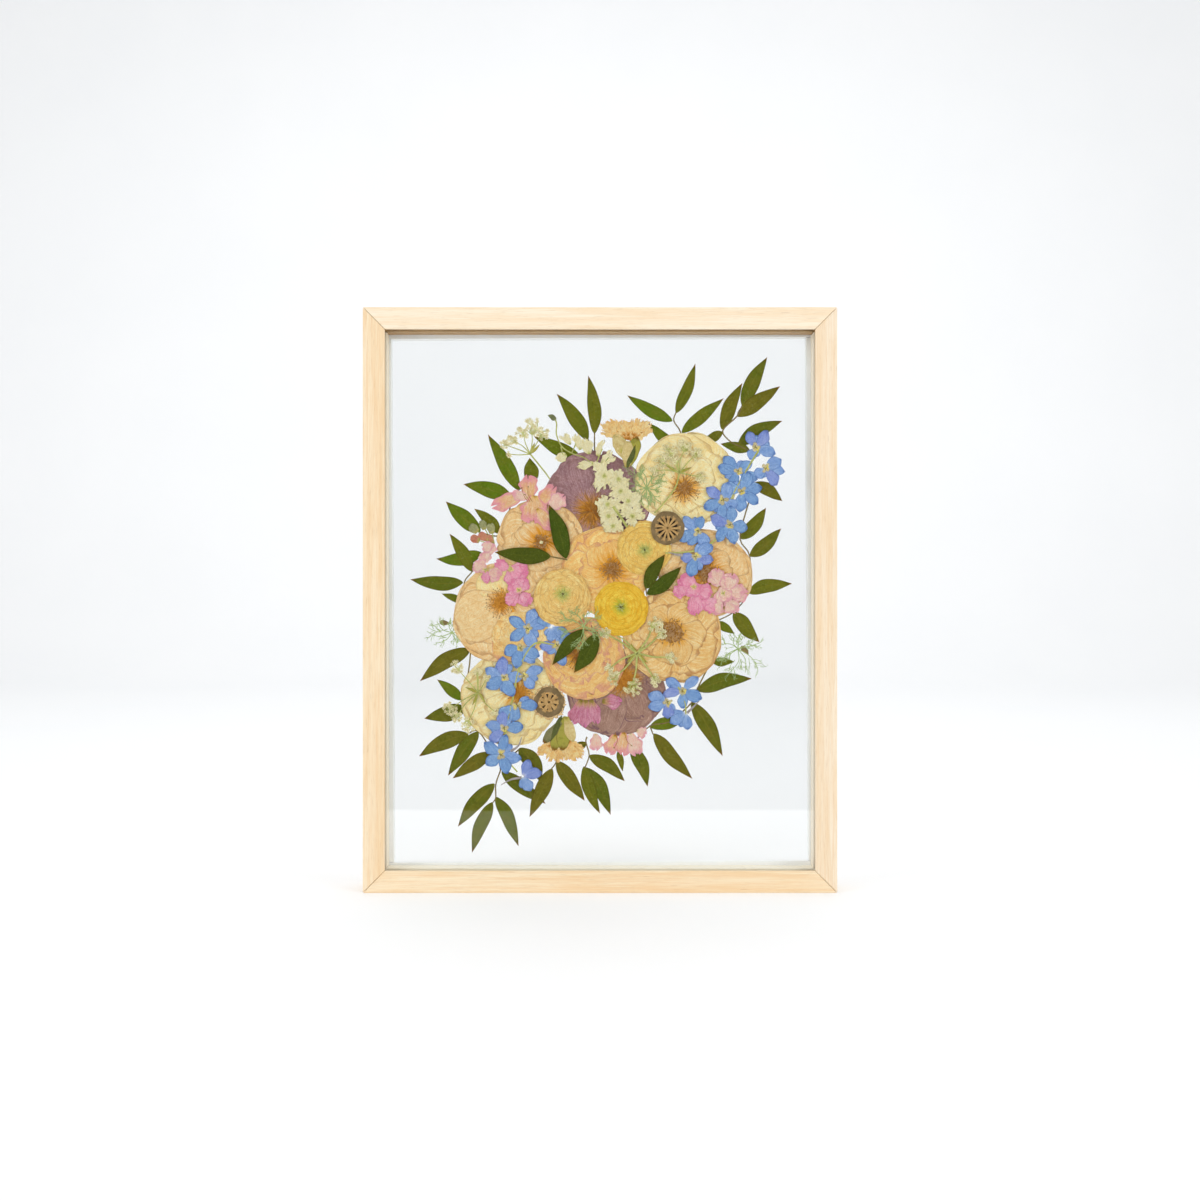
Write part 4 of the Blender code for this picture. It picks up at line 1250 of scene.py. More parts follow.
@dataclass
class Delphinium(Pressed):
    """A stem of delphinium florets."""

    stem: list[Point]
    florets: list[Floret]

    def build(self, pile: Pile) -> None:
        """Adds the stem, the florets' petals and the pale pieces in their middles."""
        draw = pile.random
        Thread(self.stem, start=2.0, end=1.3, depth=0.17).lay(pile, Finish.GREEN_STEM)
        total = sum(len(floret.petals) for floret in self.florets)
        number = 0
        for floret in self.florets:
            for x, z in floret.petals:
                dx, dz = x - floret.middle[0], z - floret.middle[1]
                far = math.hypot(dx, dz)
                reach = min(far + draw.uniform(6.4, 7.8), 19)
                foot = (floret.middle[0] + dx / far, floret.middle[1] + dz / far)
                tip = (floret.middle[0] + dx / far * reach, floret.middle[1] + dz / far * reach)
                depth = 0.14 - 0.22 * number / total
                finish = floret.finish
                if draw.random() < 0.4:
                    finish = draw.choice((Finish.PALE_BLUE, Finish.PALE_BLUE, Finish.LAVENDER))
                if draw.random() < 0.45:
                    swing = math.atan2(dz, dx) + draw.choice((-0.6, 0.6))
                    turned = polar(floret.middle, swing, reach * 0.7)
                    petal = Petal(foot, turned, 7.5, min(depth + 0.05, 0.18), foot_share=0.22, point=0.55,
                        ruffle=0.06, bow=0.5, rows=14, columns=9)
                    petal.lay(pile, Finish.PALE_BLUE, floret.middle, 0.05)
                petal = Petal(foot, tip, draw.uniform(9.2, 12.2), depth, foot_share=0.2,
                    widest=draw.uniform(0.52, 0.66), point=0.66, bow=draw.uniform(-1.2, 1.2), rows=15)
                petal.lay(pile, finish, floret.middle, 0.06)
                number += 1
            if floret.spur:
                Thread(floret.spur, end=0.7, depth=-0.02).lay(pile, Finish.SPUR)
            if floret.face:
                self.bee(pile, floret.middle)

    def bee(self, pile: Pile, middle: Point) -> None:
        """Adds a floret's small cream petals, its yellow dots and its dark lines."""
        draw = pile.random
        turn = draw.uniform(0, TURN)
        for number in range(4):
            angle = turn + number * 1.57 + draw.uniform(-0.5, 0.5)
            tip = polar(middle, angle, draw.uniform(3.2, 5.6))
            petal = Petal(middle, tip, draw.uniform(2.8, 4.0), -0.1 - 0.008 * number, point=0.6,
                notch=0.12, ruffle=0.08, rows=8, columns=7)
            petal.lay(pile, Finish.BEE, middle, 0.04)
        for _ in range(7):
            angle = turn + draw.uniform(0, TURN)
            rod = Thread([polar(middle, angle, 0.4), polar(middle, angle + 0.4, draw.uniform(1.6, 3.0))],
                start=0.4, end=0.22, depth=-0.16, sides=4)
            rod.lay(pile, Finish.DARK_LINE)
        for number in range(2):
            x, z = polar(middle, turn + 0.6 + number * 0.7, 2.4)
            bead(pile, x, z, 1.1, 0.8, Finish.YELLOW_DOT, turn=turn, tone=draw.random())


@dataclass
class SmallFlorets(Pressed):
    """A cluster of little round-petalled florets."""

    hearts: list[Point]
    petals: list[tuple[float, float, float, float, Finish]]
    fullness: int = 3
    notch: float = 0.06
    eye: Finish = Finish.GREEN_STEM

    def build(self, pile: Pile) -> None:
        """Adds the petals of every floret round its nearest heart, then the hearts."""
        draw = pile.random
        total = len(self.petals) * self.fullness
        for number in range(total):
            x, z, wide, high, finish = self.petals[number % len(self.petals)]
            first = number < len(self.petals)
            if not first:
                x, z = x + draw.uniform(-3, 3), z + draw.uniform(-3, 3)
            near = min(self.hearts, key=lambda heart: math.hypot(heart[0] - x, heart[1] - z))
            angle = math.atan2(z - near[1], x - near[0]) + (0 if first else draw.uniform(-0.4, 0.4))
            half = (wide + high) / 2 * (1.0 if first else 0.75)
            foot, tip = polar((x, z), angle + math.pi, half * 0.95), polar((x, z), angle, half)
            width = 2 * min(wide, high) * draw.uniform(0.95, 1.15) * (1.0 if first else 0.8)
            petal = Petal(foot, tip, width, 0.15 - 0.26 * number / total, foot_share=0.35, widest=0.62,
                point=0.42, notch=self.notch, ruffle=0.14, cup=-0.03, bow=draw.uniform(-0.8, 0.8),
                rows=12)
            petal.lay(pile, finish, near, 0.07)
        for heart in self.hearts:
            for _ in range(9):
                angle = draw.uniform(0, TURN)
                end = polar(heart, angle, draw.uniform(1.2, 3.0))
                Thread([heart, end], start=0.45, depth=-0.14, sides=4).lay(pile, self.eye)
                bead(pile, *end, 0.5, 0.35, Finish.YELLOW_DOT, thick=0.04, turn=angle, tone=draw.random())


@dataclass
class LoosePetals(Pressed):
    """A flower whose separate petals are each listed: foot, tip, width and finish."""

    petals: list[tuple[Point, Point, float, Finish]]
    threads: list[list[Point]] = field(default_factory=list)

    def build(self, pile: Pile) -> None:
        """Adds the petals from the back to the front, then the stamens."""
        for number, (foot, tip, width, finish) in enumerate(self.petals):
            depth = 0.15 - 0.24 * number / len(self.petals)
            petal = Petal(foot, tip, width, depth, foot_share=0.3, widest=0.66, point=0.42, notch=0.08,
                ruffle=0.13, cup=-0.03, bow=0.5, rows=22, columns=17)
            petal.lay(pile, finish, foot, 0.08)
        for route in self.threads:
            Thread(route, start=0.6, end=0.4, depth=-0.13, sides=5).lay(pile, Finish.GOLD_STAMEN)
            bead(pile, *route[-1], 0.9, 0.6, Finish.ANTHER, depth=-0.16)


@dataclass
class Larkspur(Pressed):
    """A stem of white larkspur with ruffled petals, side bells and an end bud."""

    florets: list[tuple[float, float, float]]
    bells: list[tuple[Point, Point, float]]
    stems: list[list[Point]]
    thick_stem: list[Point]
    bud: tuple[Point, Point]

    def build(self, pile: Pile) -> None:
        """Adds stems, florets, bells and the bud."""
        draw = pile.random
        for route in self.stems:
            Thread(route, start=1.3, end=0.9).lay(pile, Finish.GREEN_STEM)
        Thread(self.thick_stem, end=2.0, depth=-0.1).lay(pile, Finish.GREEN_STEM)
        depth = 0.14
        for x, z, size in self.florets:
            turn = draw.uniform(0, TURN)
            for number in range(11):
                angle = turn + number * 2.0 + draw.uniform(-0.3, 0.3)
                foot = polar((x, z), draw.uniform(0, TURN), size * 0.22)
                tip = polar((x, z), angle, size * draw.uniform(0.7, 1.3))
                petal = Petal(foot, tip, size * draw.uniform(0.5, 0.85), depth, foot_share=0.45,
                    widest=0.72, point=0.3, notch=draw.uniform(0.1, 0.35), ruffle=0.26, cup=-0.04,
                    bow=draw.uniform(-2, 2), columns=9)
                petal.lay(pile, Finish.WHITE, (x, z), 0.1)
                depth -= 0.0028
            for _ in range(6):
                angle = draw.uniform(0, TURN)
                petal = Petal((x, z), polar((x, z), angle, size * 0.45), size * 0.35, -0.12, point=0.4,
                    notch=0.2, ruffle=0.2, cup=-0.04, rows=7, columns=7)
                petal.lay(pile, Finish.WHITE, (x, z), 0.07)
            for _ in range(4):
                end = polar((x, z), draw.uniform(0, TURN), draw.uniform(1.5, 3.2))
                Thread([(x, z), end], start=0.5, depth=-0.15, sides=4).lay(pile, Finish.GREEN_STEM)
        for foot, tip, width in self.bells:
            for number in range(5):
                lean = (tip[0] + draw.uniform(-3.5, 3.5), tip[1] + draw.uniform(-3.5, 3.5))
                petal = Petal(foot, lean, width * draw.uniform(0.4, 0.75), 0.06 - 0.015 * number,
                    foot_share=0.35, widest=0.7, notch=0.16, ruffle=0.2, cup=-0.03,
                    bow=draw.uniform(-1.5, 1.5), columns=9)
                petal.lay(pile, Finish.WHITE, foot, 0.08)
        leaf = Leaf(*self.bud, 5.0, depth=-0.02, rows=14, columns=7, thick=0.08)
        leaf.lay(pile, Finish.GREY_LEAF, tone=0.2)


@dataclass
class Umbel(Pressed):
    """A flat umbel: rays from one middle, each ending in a head of tiny florets."""

    middle: Point
    heads: list[tuple[float, float, float]]
    stem: list[Point]
    bracts: list[Point] = field(default_factory=list)
    ray: float = 1.1  # thickness of a ray at the middle

    def build(self, pile: Pile) -> None:
        """Adds the stem, the rays and the heads."""
        draw = pile.random
        Thread(self.stem, start=1.4, end=1.2, depth=0.0).lay(pile, Finish.GREEN_STEM)
        for x, z, radius in self.heads:
            far = math.hypot(x - self.middle[0], z - self.middle[1])
            ahead = math.atan2(z - self.middle[1], x - self.middle[0])
            hub = polar(self.middle, ahead, max(far - radius * 0.7, far * 0.5))
            halfway = polar(self.middle, ahead + draw.uniform(-0.14, 0.14), far * 0.5)
            rod = Thread([self.middle, halfway, hub], start=self.ray, end=self.ray * 0.65, depth=0.02)
            rod.lay(pile, Finish.GREEN_STEM)
            for _ in range(int(8 + radius * 2.6)):
                spot = polar((x, z), draw.uniform(0, TURN), radius * math.sqrt(draw.random()))
                stretch = math.hypot(spot[0] - hub[0], spot[1] - hub[1]) / 2
                bend = polar(hub, ahead + draw.uniform(-0.9, 0.9), stretch)
                rod = Thread([hub, bend, spot], start=0.5, end=0.35, depth=-0.02, sides=4)
                rod.lay(pile, Finish.GREEN_STEM)
                self.star(pile, spot)
        for tip in self.bracts:
            leaf = Leaf(self.middle, tip, 2.6, depth=-0.04, rows=12, columns=5, thick=0.03)
            leaf.lay(pile, Finish.CALYX, tone=0.1)

    @staticmethod
    def star(pile: Pile, spot: Point) -> None:
        """Adds one tiny floret of five petals with a dot in its middle."""
        draw = pile.random
        turn, size = draw.uniform(0, TURN), draw.uniform(1.1, 2.0)
        for number in range(5):
            angle = turn + number * 1.257
            x, z = polar(spot, angle, size * 0.6)
            bead(pile, x, z, size * 0.5, size * 0.27, Finish.FLORET, depth=-0.08, thick=0.04, turn=angle,
                tone=draw.random())
        bead(pile, *spot, 0.35, 0.35, Finish.ANTHER, depth=-0.13, thick=0.04)


@dataclass
class SeedHead(Pressed):
    """A poppy seed head seen from above: its wall, dark slots and a raised star."""

    middle: Point
    radius: float
    star: float
    rays: int
    room: float
    skirt: bool = False

    def build(self, pile: Pile) -> None:
        """Adds the wall as a low dome, then the slots and the star's rays."""
        draw = pile.random
        pile.layer.room = self.room
        for number in range(18 if self.skirt else 0):
            angle = number * 0.35 + draw.uniform(-0.1, 0.1)
            tip = polar(self.middle, angle, self.radius * draw.uniform(0.95, 1.12))
            petal = Petal(polar(self.middle, angle, self.radius * 0.5), tip, draw.uniform(5, 8), -0.05,
                foot_share=0.6, widest=0.7, point=0.3, notch=0.25, ruffle=0.25, cup=-0.03, rows=12)
            petal.lay(pile, Finish.SMOOTH, self.middle, 0.06)
        rings, sides = 12, 64
        share = np.linspace(0.0, 1.0, rings)[:, None]
        turn = np.linspace(0, 2 * math.pi, sides, endpoint=False)[None, :]
        wobble = 1 + 0.02 * np.sin(turn * 3 + self.seed) + 0.012 * np.sin(turn * 7)
        reach = self.radius * (0.03 + 0.97 * share) * wobble
        dome = np.where(share < 0.72, 0.2 + 0.8 * (share / 0.72)**2,
            np.sqrt(np.clip(1 - ((share - 0.72) / 0.3)**2, 0, 1)))
        y = 0.6 * self.room - 1.25 * self.room * dome + 0.02 * np.sin(turn * 24) * share
        x, z = self.middle[0] + reach * np.cos(turn), self.middle[1] + reach * np.sin(turn)
        front = np.stack([x, y * np.ones_like(x), z], -1).reshape(-1, 3)
        back = front.copy()
        back[:, 1] = 0.85 * self.room
        index = np.arange(rings * sides).reshape(rings, sides)
        beside = np.roll(index, -1, axis=1)
        quads = np.stack([index[:-1], index[1:], beside[1:], beside[:-1]], -1).reshape(-1, 4)
        last, behind = index[-1], index[-1] + rings * sides
        rim = np.stack([last, behind, np.roll(behind, -1), np.roll(last, -1)], -1)
        caps = []
        for ring in (index[0], index[0] + rings * sides):
            for step in range(sides // 2 - 1):
                caps.append([ring[step], ring[step + 1], ring[-2 - step], ring[-1 - step]])
        values = np.zeros((len(front) * 2, 3))
        pile.add(np.concatenate([front, back]), values, np.zeros(len(front) * 2),
            np.concatenate([quads, quads[:, ::-1] + rings * sides, rim, np.array(caps)]), Finish.POD)
        bead(pile, *self.middle, self.star * 0.93, self.star * 0.93, Finish.POD_SLOT,
            depth=-0.3 * self.room, thick=0.2 * self.room)
        for number in range(self.rays):
            angle = 2 * math.pi * number / self.rays + draw.uniform(-0.05, 0.05)
            reach = self.star * draw.uniform(0.92, 1.05)
            width = 2 * math.pi * self.star / self.rays * (0.6 if self.skirt else 0.46)
            tip = polar(self.middle, angle, reach)
            bend = polar(self.middle, angle + draw.uniform(-0.06, 0.06), reach * 0.5)
            rod = Thread([self.middle, bend, tip], start=width * 0.45, end=width, depth=-0.7 * self.room,
                flat=0.8)
            rod.lay(pile, Finish.POD_STAR, draw.random())
            for side in (-1, 1):
                foot = polar(self.middle, angle, reach * 0.55)
                end = polar(self.middle, angle + side * 0.12, reach * 1.04)
                rod = Thread([foot, end], start=width * 0.3, end=width * 0.3, depth=-0.6 * self.room,
                    flat=0.8, sides=5)
                rod.lay(pile, Finish.POD_STAR, 0.2)


@dataclass
class Carnation(Pressed):
    """A small carnation from the side: a ruffled fan of petals over its calyx."""

    middle: Point
    half_width: float
    half_height: float
    stalk: int  # 1 where the stalk is above the ruffle, -1 where it is below
    foot: Point
    cup: list[tuple[Point, Point, float, Finish]]
    strap: list[Point]

    def build(self, pile: Pile) -> None:
        """Adds the ruffle, the cup and the calyx."""
        draw = pile.random
        x, z = self.middle
        count = 64
        for number in range(count):
            share = draw.uniform(-1, 1)
            drop = draw.uniform(-0.5, 1.1)
            tip = (x + share * self.half_width,
                   z - self.stalk * self.half_height * drop * math.sqrt(1 - share**2 * 0.7))
            foot = (self.foot[0] * 0.45 + (x + share * 9) * 0.55, self.foot[1] * 0.3 + z * 0.7)
            length = math.hypot(tip[0] - foot[0], tip[1] - foot[1])
            foot = (tip[0] + (foot[0] - tip[0]) * min(1, 12 / length),
                    tip[1] + (foot[1] - tip[1]) * min(1, 12 / length))
            petal = Petal(foot, tip, draw.uniform(4, 8), 0.15 - 0.2 * number / count, foot_share=0.5,
                widest=0.8, point=0.26, notch=draw.uniform(0.1, 0.3), ruffle=0.28, cup=-0.05,
                bow=draw.uniform(-1.5, 1.5), rows=11)
            petal.lay(pile, Finish.ORANGE, foot, 0.1)
        for number, (foot, tip, width, finish) in enumerate(self.cup):
            petal = Petal(foot, tip, width, -0.07 - 0.015 * number, point=0.6, rows=14)
            petal.lay(pile, finish, foot, 0.06)
        leaf = Leaf(self.strap[-1], self.strap[0], 5.0, depth=-0.17, rows=16, columns=7, thick=0.03)
        leaf.lay(pile, Finish.STRAP, tone=0.8)


@dataclass
class Buds(Pressed):
    """A knot of small closed buds."""

    buds: list[tuple[float, float, float, float, Finish]]

    def build(self, pile: Pile) -> None:
        """Adds each bud as a few cupped scales on a short stalk."""
        draw = pile.random
        foot = (-97.0, 50.0)
        for x, z, wide, high, finish in self.buds:
            Thread([foot, (x, z)], start=1.2, end=0.8).lay(pile, Finish.GREEN_STEM)
            angle = math.atan2(z - foot[1], x - foot[0])
            for scale in range(4):
                start = polar((x, z), angle + math.pi + draw.uniform(-0.4, 0.4), high)
                end = polar((x, z), angle + draw.uniform(-0.5, 0.5), high)
                petal = Petal(start, end, wide * draw.uniform(0.8, 1.2), 0.08 - 0.05 * scale, point=0.7,
                    cup=-0.04, columns=9, thick=0.03)
                petal.lay(pile, finish, start, 0.06)


@dataclass
class Frond:
    """A feathery green frond, finer than the solids: threads that fork and fork again."""

    name: str
    middle: Point
    depth: float
    reach: tuple[float, float, float, float]  # how far it goes left, right, down and up
    seed: int
    ribs: int = 9
    seed_pod: tuple[Point, Point] | None = None

    def make(self) -> bpy.types.Object:
        """Builds the frond and ties it to the frame.

        Returns:
            The finished object.
        """
        layer = Layer("umbel_centre")
        layer.middle = self.depth
        pile = Pile(layer, self.seed)
        draw = pile.random
        left, right, down, up = self.reach
        for number in range(self.ribs):
            angle = 2 * math.pi * number / self.ribs + draw.uniform(-0.3, 0.3)
            wide = right if math.cos(angle) > 0 else left
            high = up if math.sin(angle) > 0 else down
            length = 1 / math.hypot(math.cos(angle) / max(wide, 3), math.sin(angle) / max(high, 3))
            self.branch(pile, self.middle, angle, length * draw.uniform(0.75, 1.0), 0.85, 0)
        if self.seed_pod:
            leaf = Leaf(*self.seed_pod, 5.0, depth=-0.05, rows=12, columns=7, thick=0.08)
            leaf.lay(pile, Finish.STEM, tone=0.5)
        made = pile.mesh_object(self.name)
        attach(made, "root")
        LOG.info("%s: %d faces", made.name, len(made.data.polygons))
        return made

    def branch(self, pile: Pile, start: Point, angle: float, length: float, width: float,
               fork: int) -> None:
        """Adds a thread and the finer ones that leave it.

        Args:
            pile: the pile it joins.
            start: where it starts.
            angle: its direction in radians.
            length: its length.
            width: its thickness at the start.
            fork: how many forks lie before it.
        """
        draw = pile.random
        curve = draw.uniform(-0.5, 0.5) + (0.5 if fork == 2 else 0)
        middle = polar(start, angle - curve / 2, length / 2)
        end = polar(middle, angle + curve, length / 2)
        rod = Thread([start, middle, end], start=width, end=width * 0.6, depth=-0.05 * fork, sides=4)
        rod.lay(pile, Finish.FROND, draw.random())
        if fork == 2:
            return
        for number in range(5 if fork == 0 else 3):
            share = draw.uniform(0.3, 1.0)
            spot = (start[0] + (end[0] - start[0]) * share, start[1] + (end[1] - start[1]) * share)
            side = 1 if number % 2 else -1
            self.branch(pile, spot, angle + side * draw.uniform(0.3, 0.9), length * draw.uniform(0.3, 0.5),
                width * 0.7, fork + 1)


class Frame:
    """The wooden frame with its fillets and strips, and the two panes: the CAD solids, dressed."""

    middle_z = (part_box("glass_front")[0][2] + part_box("glass_front")[1][2]) / 2 / MM
    front_y = CAD_BOX[0][1]

    def __init__(self) -> None:
        """Sets out the finishes of the solids."""
        level, upright = (0.035, 1.0, 1.0), (1.0, 1.0, 0.035)
        self.finishes = {
            # The four rails share one wood. Each rail's colours are set to how that rail is lit, which is
            # painted light.
            "rail_top": PlainWood("top rail wood, painted light", "f8ecd6", "f2d8b4", level),
            "rail_bottom": PlainWood("bottom rail wood, painted light", "f8e8ca", "eecb9c", level),
            "rail_left": PlainWood("left rail wood, painted light", "f6e4c6", "ecca9c", upright),
            "rail_right": PlainWood("right rail wood, painted light", "f6e8d2", "eccfa8", upright),
            # The top fillet's brown is painted shade under the top rail. The other fillets are painted near
            # white, which is painted light in the dim recess.
            "fillet_top": PlainWood("top fillet wood, painted shade", "c0a070", "b28a5c", level),
            "fillet_bottom": PlainWood("bottom fillet wood, painted light", "fffaea", "faecd0", level),
            "fillet_left": PlainWood("left fillet wood, painted light", "fff4e0", "faead0", upright),
            "fillet_right": PlainWood("right fillet wood, painted light", "fff6e4", "faecd6", upright),
        }
        for side in ("top", "bottom", "left", "right"):
            self.finishes[f"strip_{side}"] = ThinPaint(f"{side} strip paint", "ffffff", "f6f4ec")
        self.finishes["glass_front"] = ClearGlass("glass front", (0.986, 0.99, 0.988))
        self.finishes["glass_back"] = ClearGlass("glass back", (0.962, 0.971, 0.973))

    def dress(self) -> None:
        """Gives each solid its finish."""
        for name, finish in self.finishes.items():
            solid = frame["nodes"][name]
            solid.data.materials.clear()
            solid.data.materials.append(finish.material())
            LOG.info("%s: dressed with %s", name, finish.name)


@dataclass
class Studio:
    """A plain white sweep, soft light from above and the camera."""

    table_edge: float = -0.43  # where the lit table ends in front of the frame
    back: float = 2.6
    bend: float = 0.7
    height: float = 3.2
    half_width: float = 4.0
    camera_distance: float = 1.077
    lens: float = 35.37

    def sheet(self, name: str, profile: list[Point], seen_in_glass: bool) -> None:
        """Adds a sheet of the sweep.

        Args:
            name: what it is called.
            profile: its y and z points from front to back.
            seen_in_glass: whether the panes reflect it.
        """
        points = [(x, y, z) for y, z in profile for x in (-self.half_width, self.half_width)]
        faces = [(2 * n, 2 * n + 1, 2 * n + 3, 2 * n + 2) for n in range(len(profile) - 1)]
        mesh = bpy.data.meshes.new(name)
        mesh.from_pydata(points, [], faces)
        mesh.shade_smooth()
        g, shader = new_material(name)
        where = g.node("TexCoord").outputs["Object"]
        colour = g.mix(g.noise(where, 3.0), (0.86, 0.865, 0.87), (0.9, 0.9, 0.9))
        g.look(shader, colour, 0.8, shine=0.1)
        shader.inputs["Emission Color"].default_value = (0.97, 0.985, 1.0, 1)
        shader.inputs["Emission Strength"].default_value = 0.12
        mesh.materials.append(g.material)
        made = bpy.data.objects.new(name, mesh)
        bpy.context.scene.collection.objects.link(made)
        made.visible_glossy = seen_in_glass
        made.visible_transmission = seen_in_glass

    def lamp(self, name: str, place_at: Colour, aim: Colour, size: tuple[float, float],
             power: float) -> None:
        """Adds a soft panel of light.

        Args:
            name: what it is called.
            place_at: where it hangs.
            aim: the point it faces.
            size: its width and height.
            power: its power in watts.
        """
        light = bpy.data.lights.new(name, "AREA")
        light.shape = "RECTANGLE"
        light.size, light.size_y = size
        light.energy = power
        made = bpy.data.objects.new(name, light)
        made.location = place_at
        direction = [a - b for a, b in zip(aim, place_at)]
        made.rotation_euler = facing(direction)
        made.visible_glossy = False
        made.visible_transmission = False
        bpy.context.scene.collection.objects.link(made)

    def build(self) -> None:
        """Adds the sweep, the lamps, the surroundings and the camera."""
        corner = [(self.back + self.bend * math.sin(a), self.bend * (1 - math.cos(a)))
                  for a in np.linspace(0, math.pi / 2, 17)]
        self.sheet("sweep", [(self.table_edge, 0.0), *corner, (self.back + self.bend, self.height)], True)
        self.sheet("floor_in_front", [(-5.0, 0.0), (self.table_edge, 0.0)], False)
        for side, x in (("left", -2.2), ("right", 2.2)):
            self.lamp(f"{side}_panel", (x, -1.5, 0.9), (0.0, 0.0, 0.3), (1.2, 1.2), 19.0)
        self.lamp("top_panel", (0.0, 0.1, 2.4), (0.0, 0.1, 0.0), (2.4, 1.4), 12.0)
        self.lamp("back_panel", (0.0, 1.5, 2.3), (0.0, 2.9, 0.2), (3.0, 1.0), 9.0)
        world = bpy.data.worlds.new("white studio")
        world.use_nodes = True
        g = Graph(world.node_tree)
        around = world.node_tree.nodes["Background"]
        around.inputs["Color"].default_value = (0.97, 0.985, 1.0, 1)
        around.inputs["Strength"].default_value = 0.72
        room = g.node("Background", {"Color": (0.9, 0.95, 1.0), "Strength": 0.03})
        path = g.node("LightPath")
        mirrored = g.math("MAXIMUM", path.outputs["Is Glossy Ray"], path.outputs["Is Transmission Ray"])
        heading = g.node("SeparateXYZ", {"Vector": g.node("TexCoord").outputs["Generated"]}).outputs["Y"]
        dark = g.times(mirrored, g.ramp(heading, 0.0, 0.3, 1.0, 0.0))
        g.surface(dark, around, room, "World Output")
        bpy.context.scene.world = world
        eye = bpy.data.cameras.new("camera")
        eye.lens, eye.sensor_width = self.lens, 36.0
        made = bpy.data.objects.new("camera", eye)
        made.location = (0.0, Frame.front_y - self.camera_distance, Frame.middle_z * MM)
        made.rotation_euler = (math.pi / 2, 0.0, 0.0)
        bpy.context.scene.collection.objects.link(made)
        bpy.context.scene.camera = made
        bpy.context.scene.view_settings.view_transform = "Standard"
        LOG.info("studio ready")


def facing(direction: list[float]) -> tuple[float, float, float]:
    """Returns the turn that points a lamp along a direction."""
    return Vector(direction).to_track_quat("-Z", "Y").to_euler()


def roses() -> list[Pressed]:
    """Returns the large open blooms."""
    tan, peach = Finish.TAN, Finish.PEACH
    return [
        Rose("rose_mauve_top", 11, Finish.MAUVE, (-8, 82), (-4, 91, 49, 46), Heart.THREADS, outer=6,
            turn=0.4, ruffle=0.07, boss=4.0, threads=110, thread_reach=22.0,
            thread_finish=Finish.STAMEN, extras=(((-14, 88), (-44, 104), 36, Finish.MAUVE),
                ((-16, 96), (-26, 128), 30, Finish.MAUVE))),
        Rose("rose_mauve_lower", 12, Finish.MAUVE_LOWER, (22, -73), (14, -85, 46, 41), Heart.THREADS,
            outer=6, inner=5, turn=0.2, boss=4.0, threads=120, thread_reach=20.0,
            thread_finish=Finish.GOLD_STAMEN, extras=(((24, -74), (38, -108), 36, Finish.MAUVE_LOWER),
                ((16, -80), (4, -122), 30, Finish.MAUVE_LOWER))),
        Rose("rose_cream_lower", 13, Finish.CREAM, (-75, -85), (-83, -90, 45, 44), Heart.THREADS,
            outer=6, inner=5, turn=0.9, ruffle=0.03, boss=4.0, thread_finish=Finish.GOLD_STAMEN),
        Rose("rose_tan_right", 14, tan, (97.5, 25), (97, 24, 44, 41), Heart.BOSS, outer=6, inner=5,
            turn=0.3, ruffle=0.03, boss=7.0, threads=90, thread_reach=13.0),
        Rose("rose_cream_upper", 15, Finish.CREAM, (78, 103), (79, 111, 47, 43), Heart.BUTTON, outer=5,
            inner=5, turn=0.35, ruffle=0.03, boss=6.0, threads=110, thread_reach=21.0),
        Rose("rose_tan_upper", 16, tan, (-54, 53), (-55, 52, 41, 41), Heart.RING, outer=6, inner=5,
            turn=0.1, ruffle=0.04, boss=4.6, threads=80, thread_reach=11.0),
        Rose("rose_golden", 17, Finish.GOLD, (66, -30), (67, -33, 46, 44), Heart.BOSS, outer=6, turn=0.6,
            boss=9.5, threads=130, thread_reach=13.5),
        Rose("rose_orange", 18, Finish.ORANGE, (-76, -31), (-73, -31, 27, 20), Heart.NONE, outer=5,
            inner=5, turn=0.2, ruffle=0.12, boss=3.0, threads=0),
        Rose("rose_tan_left", 19, tan, (-91, -3), (-91, -13, 44, 46), Heart.TORN, outer=5, inner=4,
            turn=1.0, ruffle=0.03, boss=6.0, threads=130, thread_reach=15.0,
            thread_finish=Finish.GOLD_STAMEN, extras=(((-82, 2), (-96, 33), 52, Finish.CREAM),
                ((-84, -2), (-133, -24), 48, Finish.SMOOTH),
                ((-76, -14), (-92, -56), 26, Finish.FOLDED))),
        Rose("rose_peach_centre", 20, peach, (11.5, 29), (6, 27, 41, 42), Heart.BUTTON, outer=6, inner=5,
            turn=0.8, boss=5.6, threads=90, thread_reach=16.0),
        Rose("rose_peach_lower", 21, Finish.FOLDED, (-22, -51), (-14, -54, 38, 38), Heart.TORN, inner=7,
            turn=0.5, ruffle=0.11, threads=90, thread_reach=13.0),
        Ranunculus("ranunculus_yellow", 22, Finish.YELLOW, (19, -6.5), (19.5, -8, 25.8, 25.8)),
        Ranunculus("ranunculus_cream", 23, Finish.BUTTER, (41, 46), (40.5, 48, 25.8, 25.8)),
        Ranunculus("ranunculus_tan", 24, Finish.HONEY, (-34, 5.5), (-35, 2, 27, 27), 0.05),
    ]


def sprays() -> list[Pressed]:
    """Returns the sprays of leaves."""
    dark = {"ruscus_pair_upper", "ruscus_pair_right", "ruscus_pair_lower"}
    olive = {"ruscus_bottom_left", "ruscus_lower_left", "ruscus_upper_right", "ruscus_bottom_centre"}
    made = []
    for number, node in enumerate(RUSCUS):
        finish = Finish.DARK_LEAF if node in dark else Finish.OLIVE_LEAF if node in olive else Finish.RUSCUS
        made.append(Spray(node, 40 + number, finish))
    return made


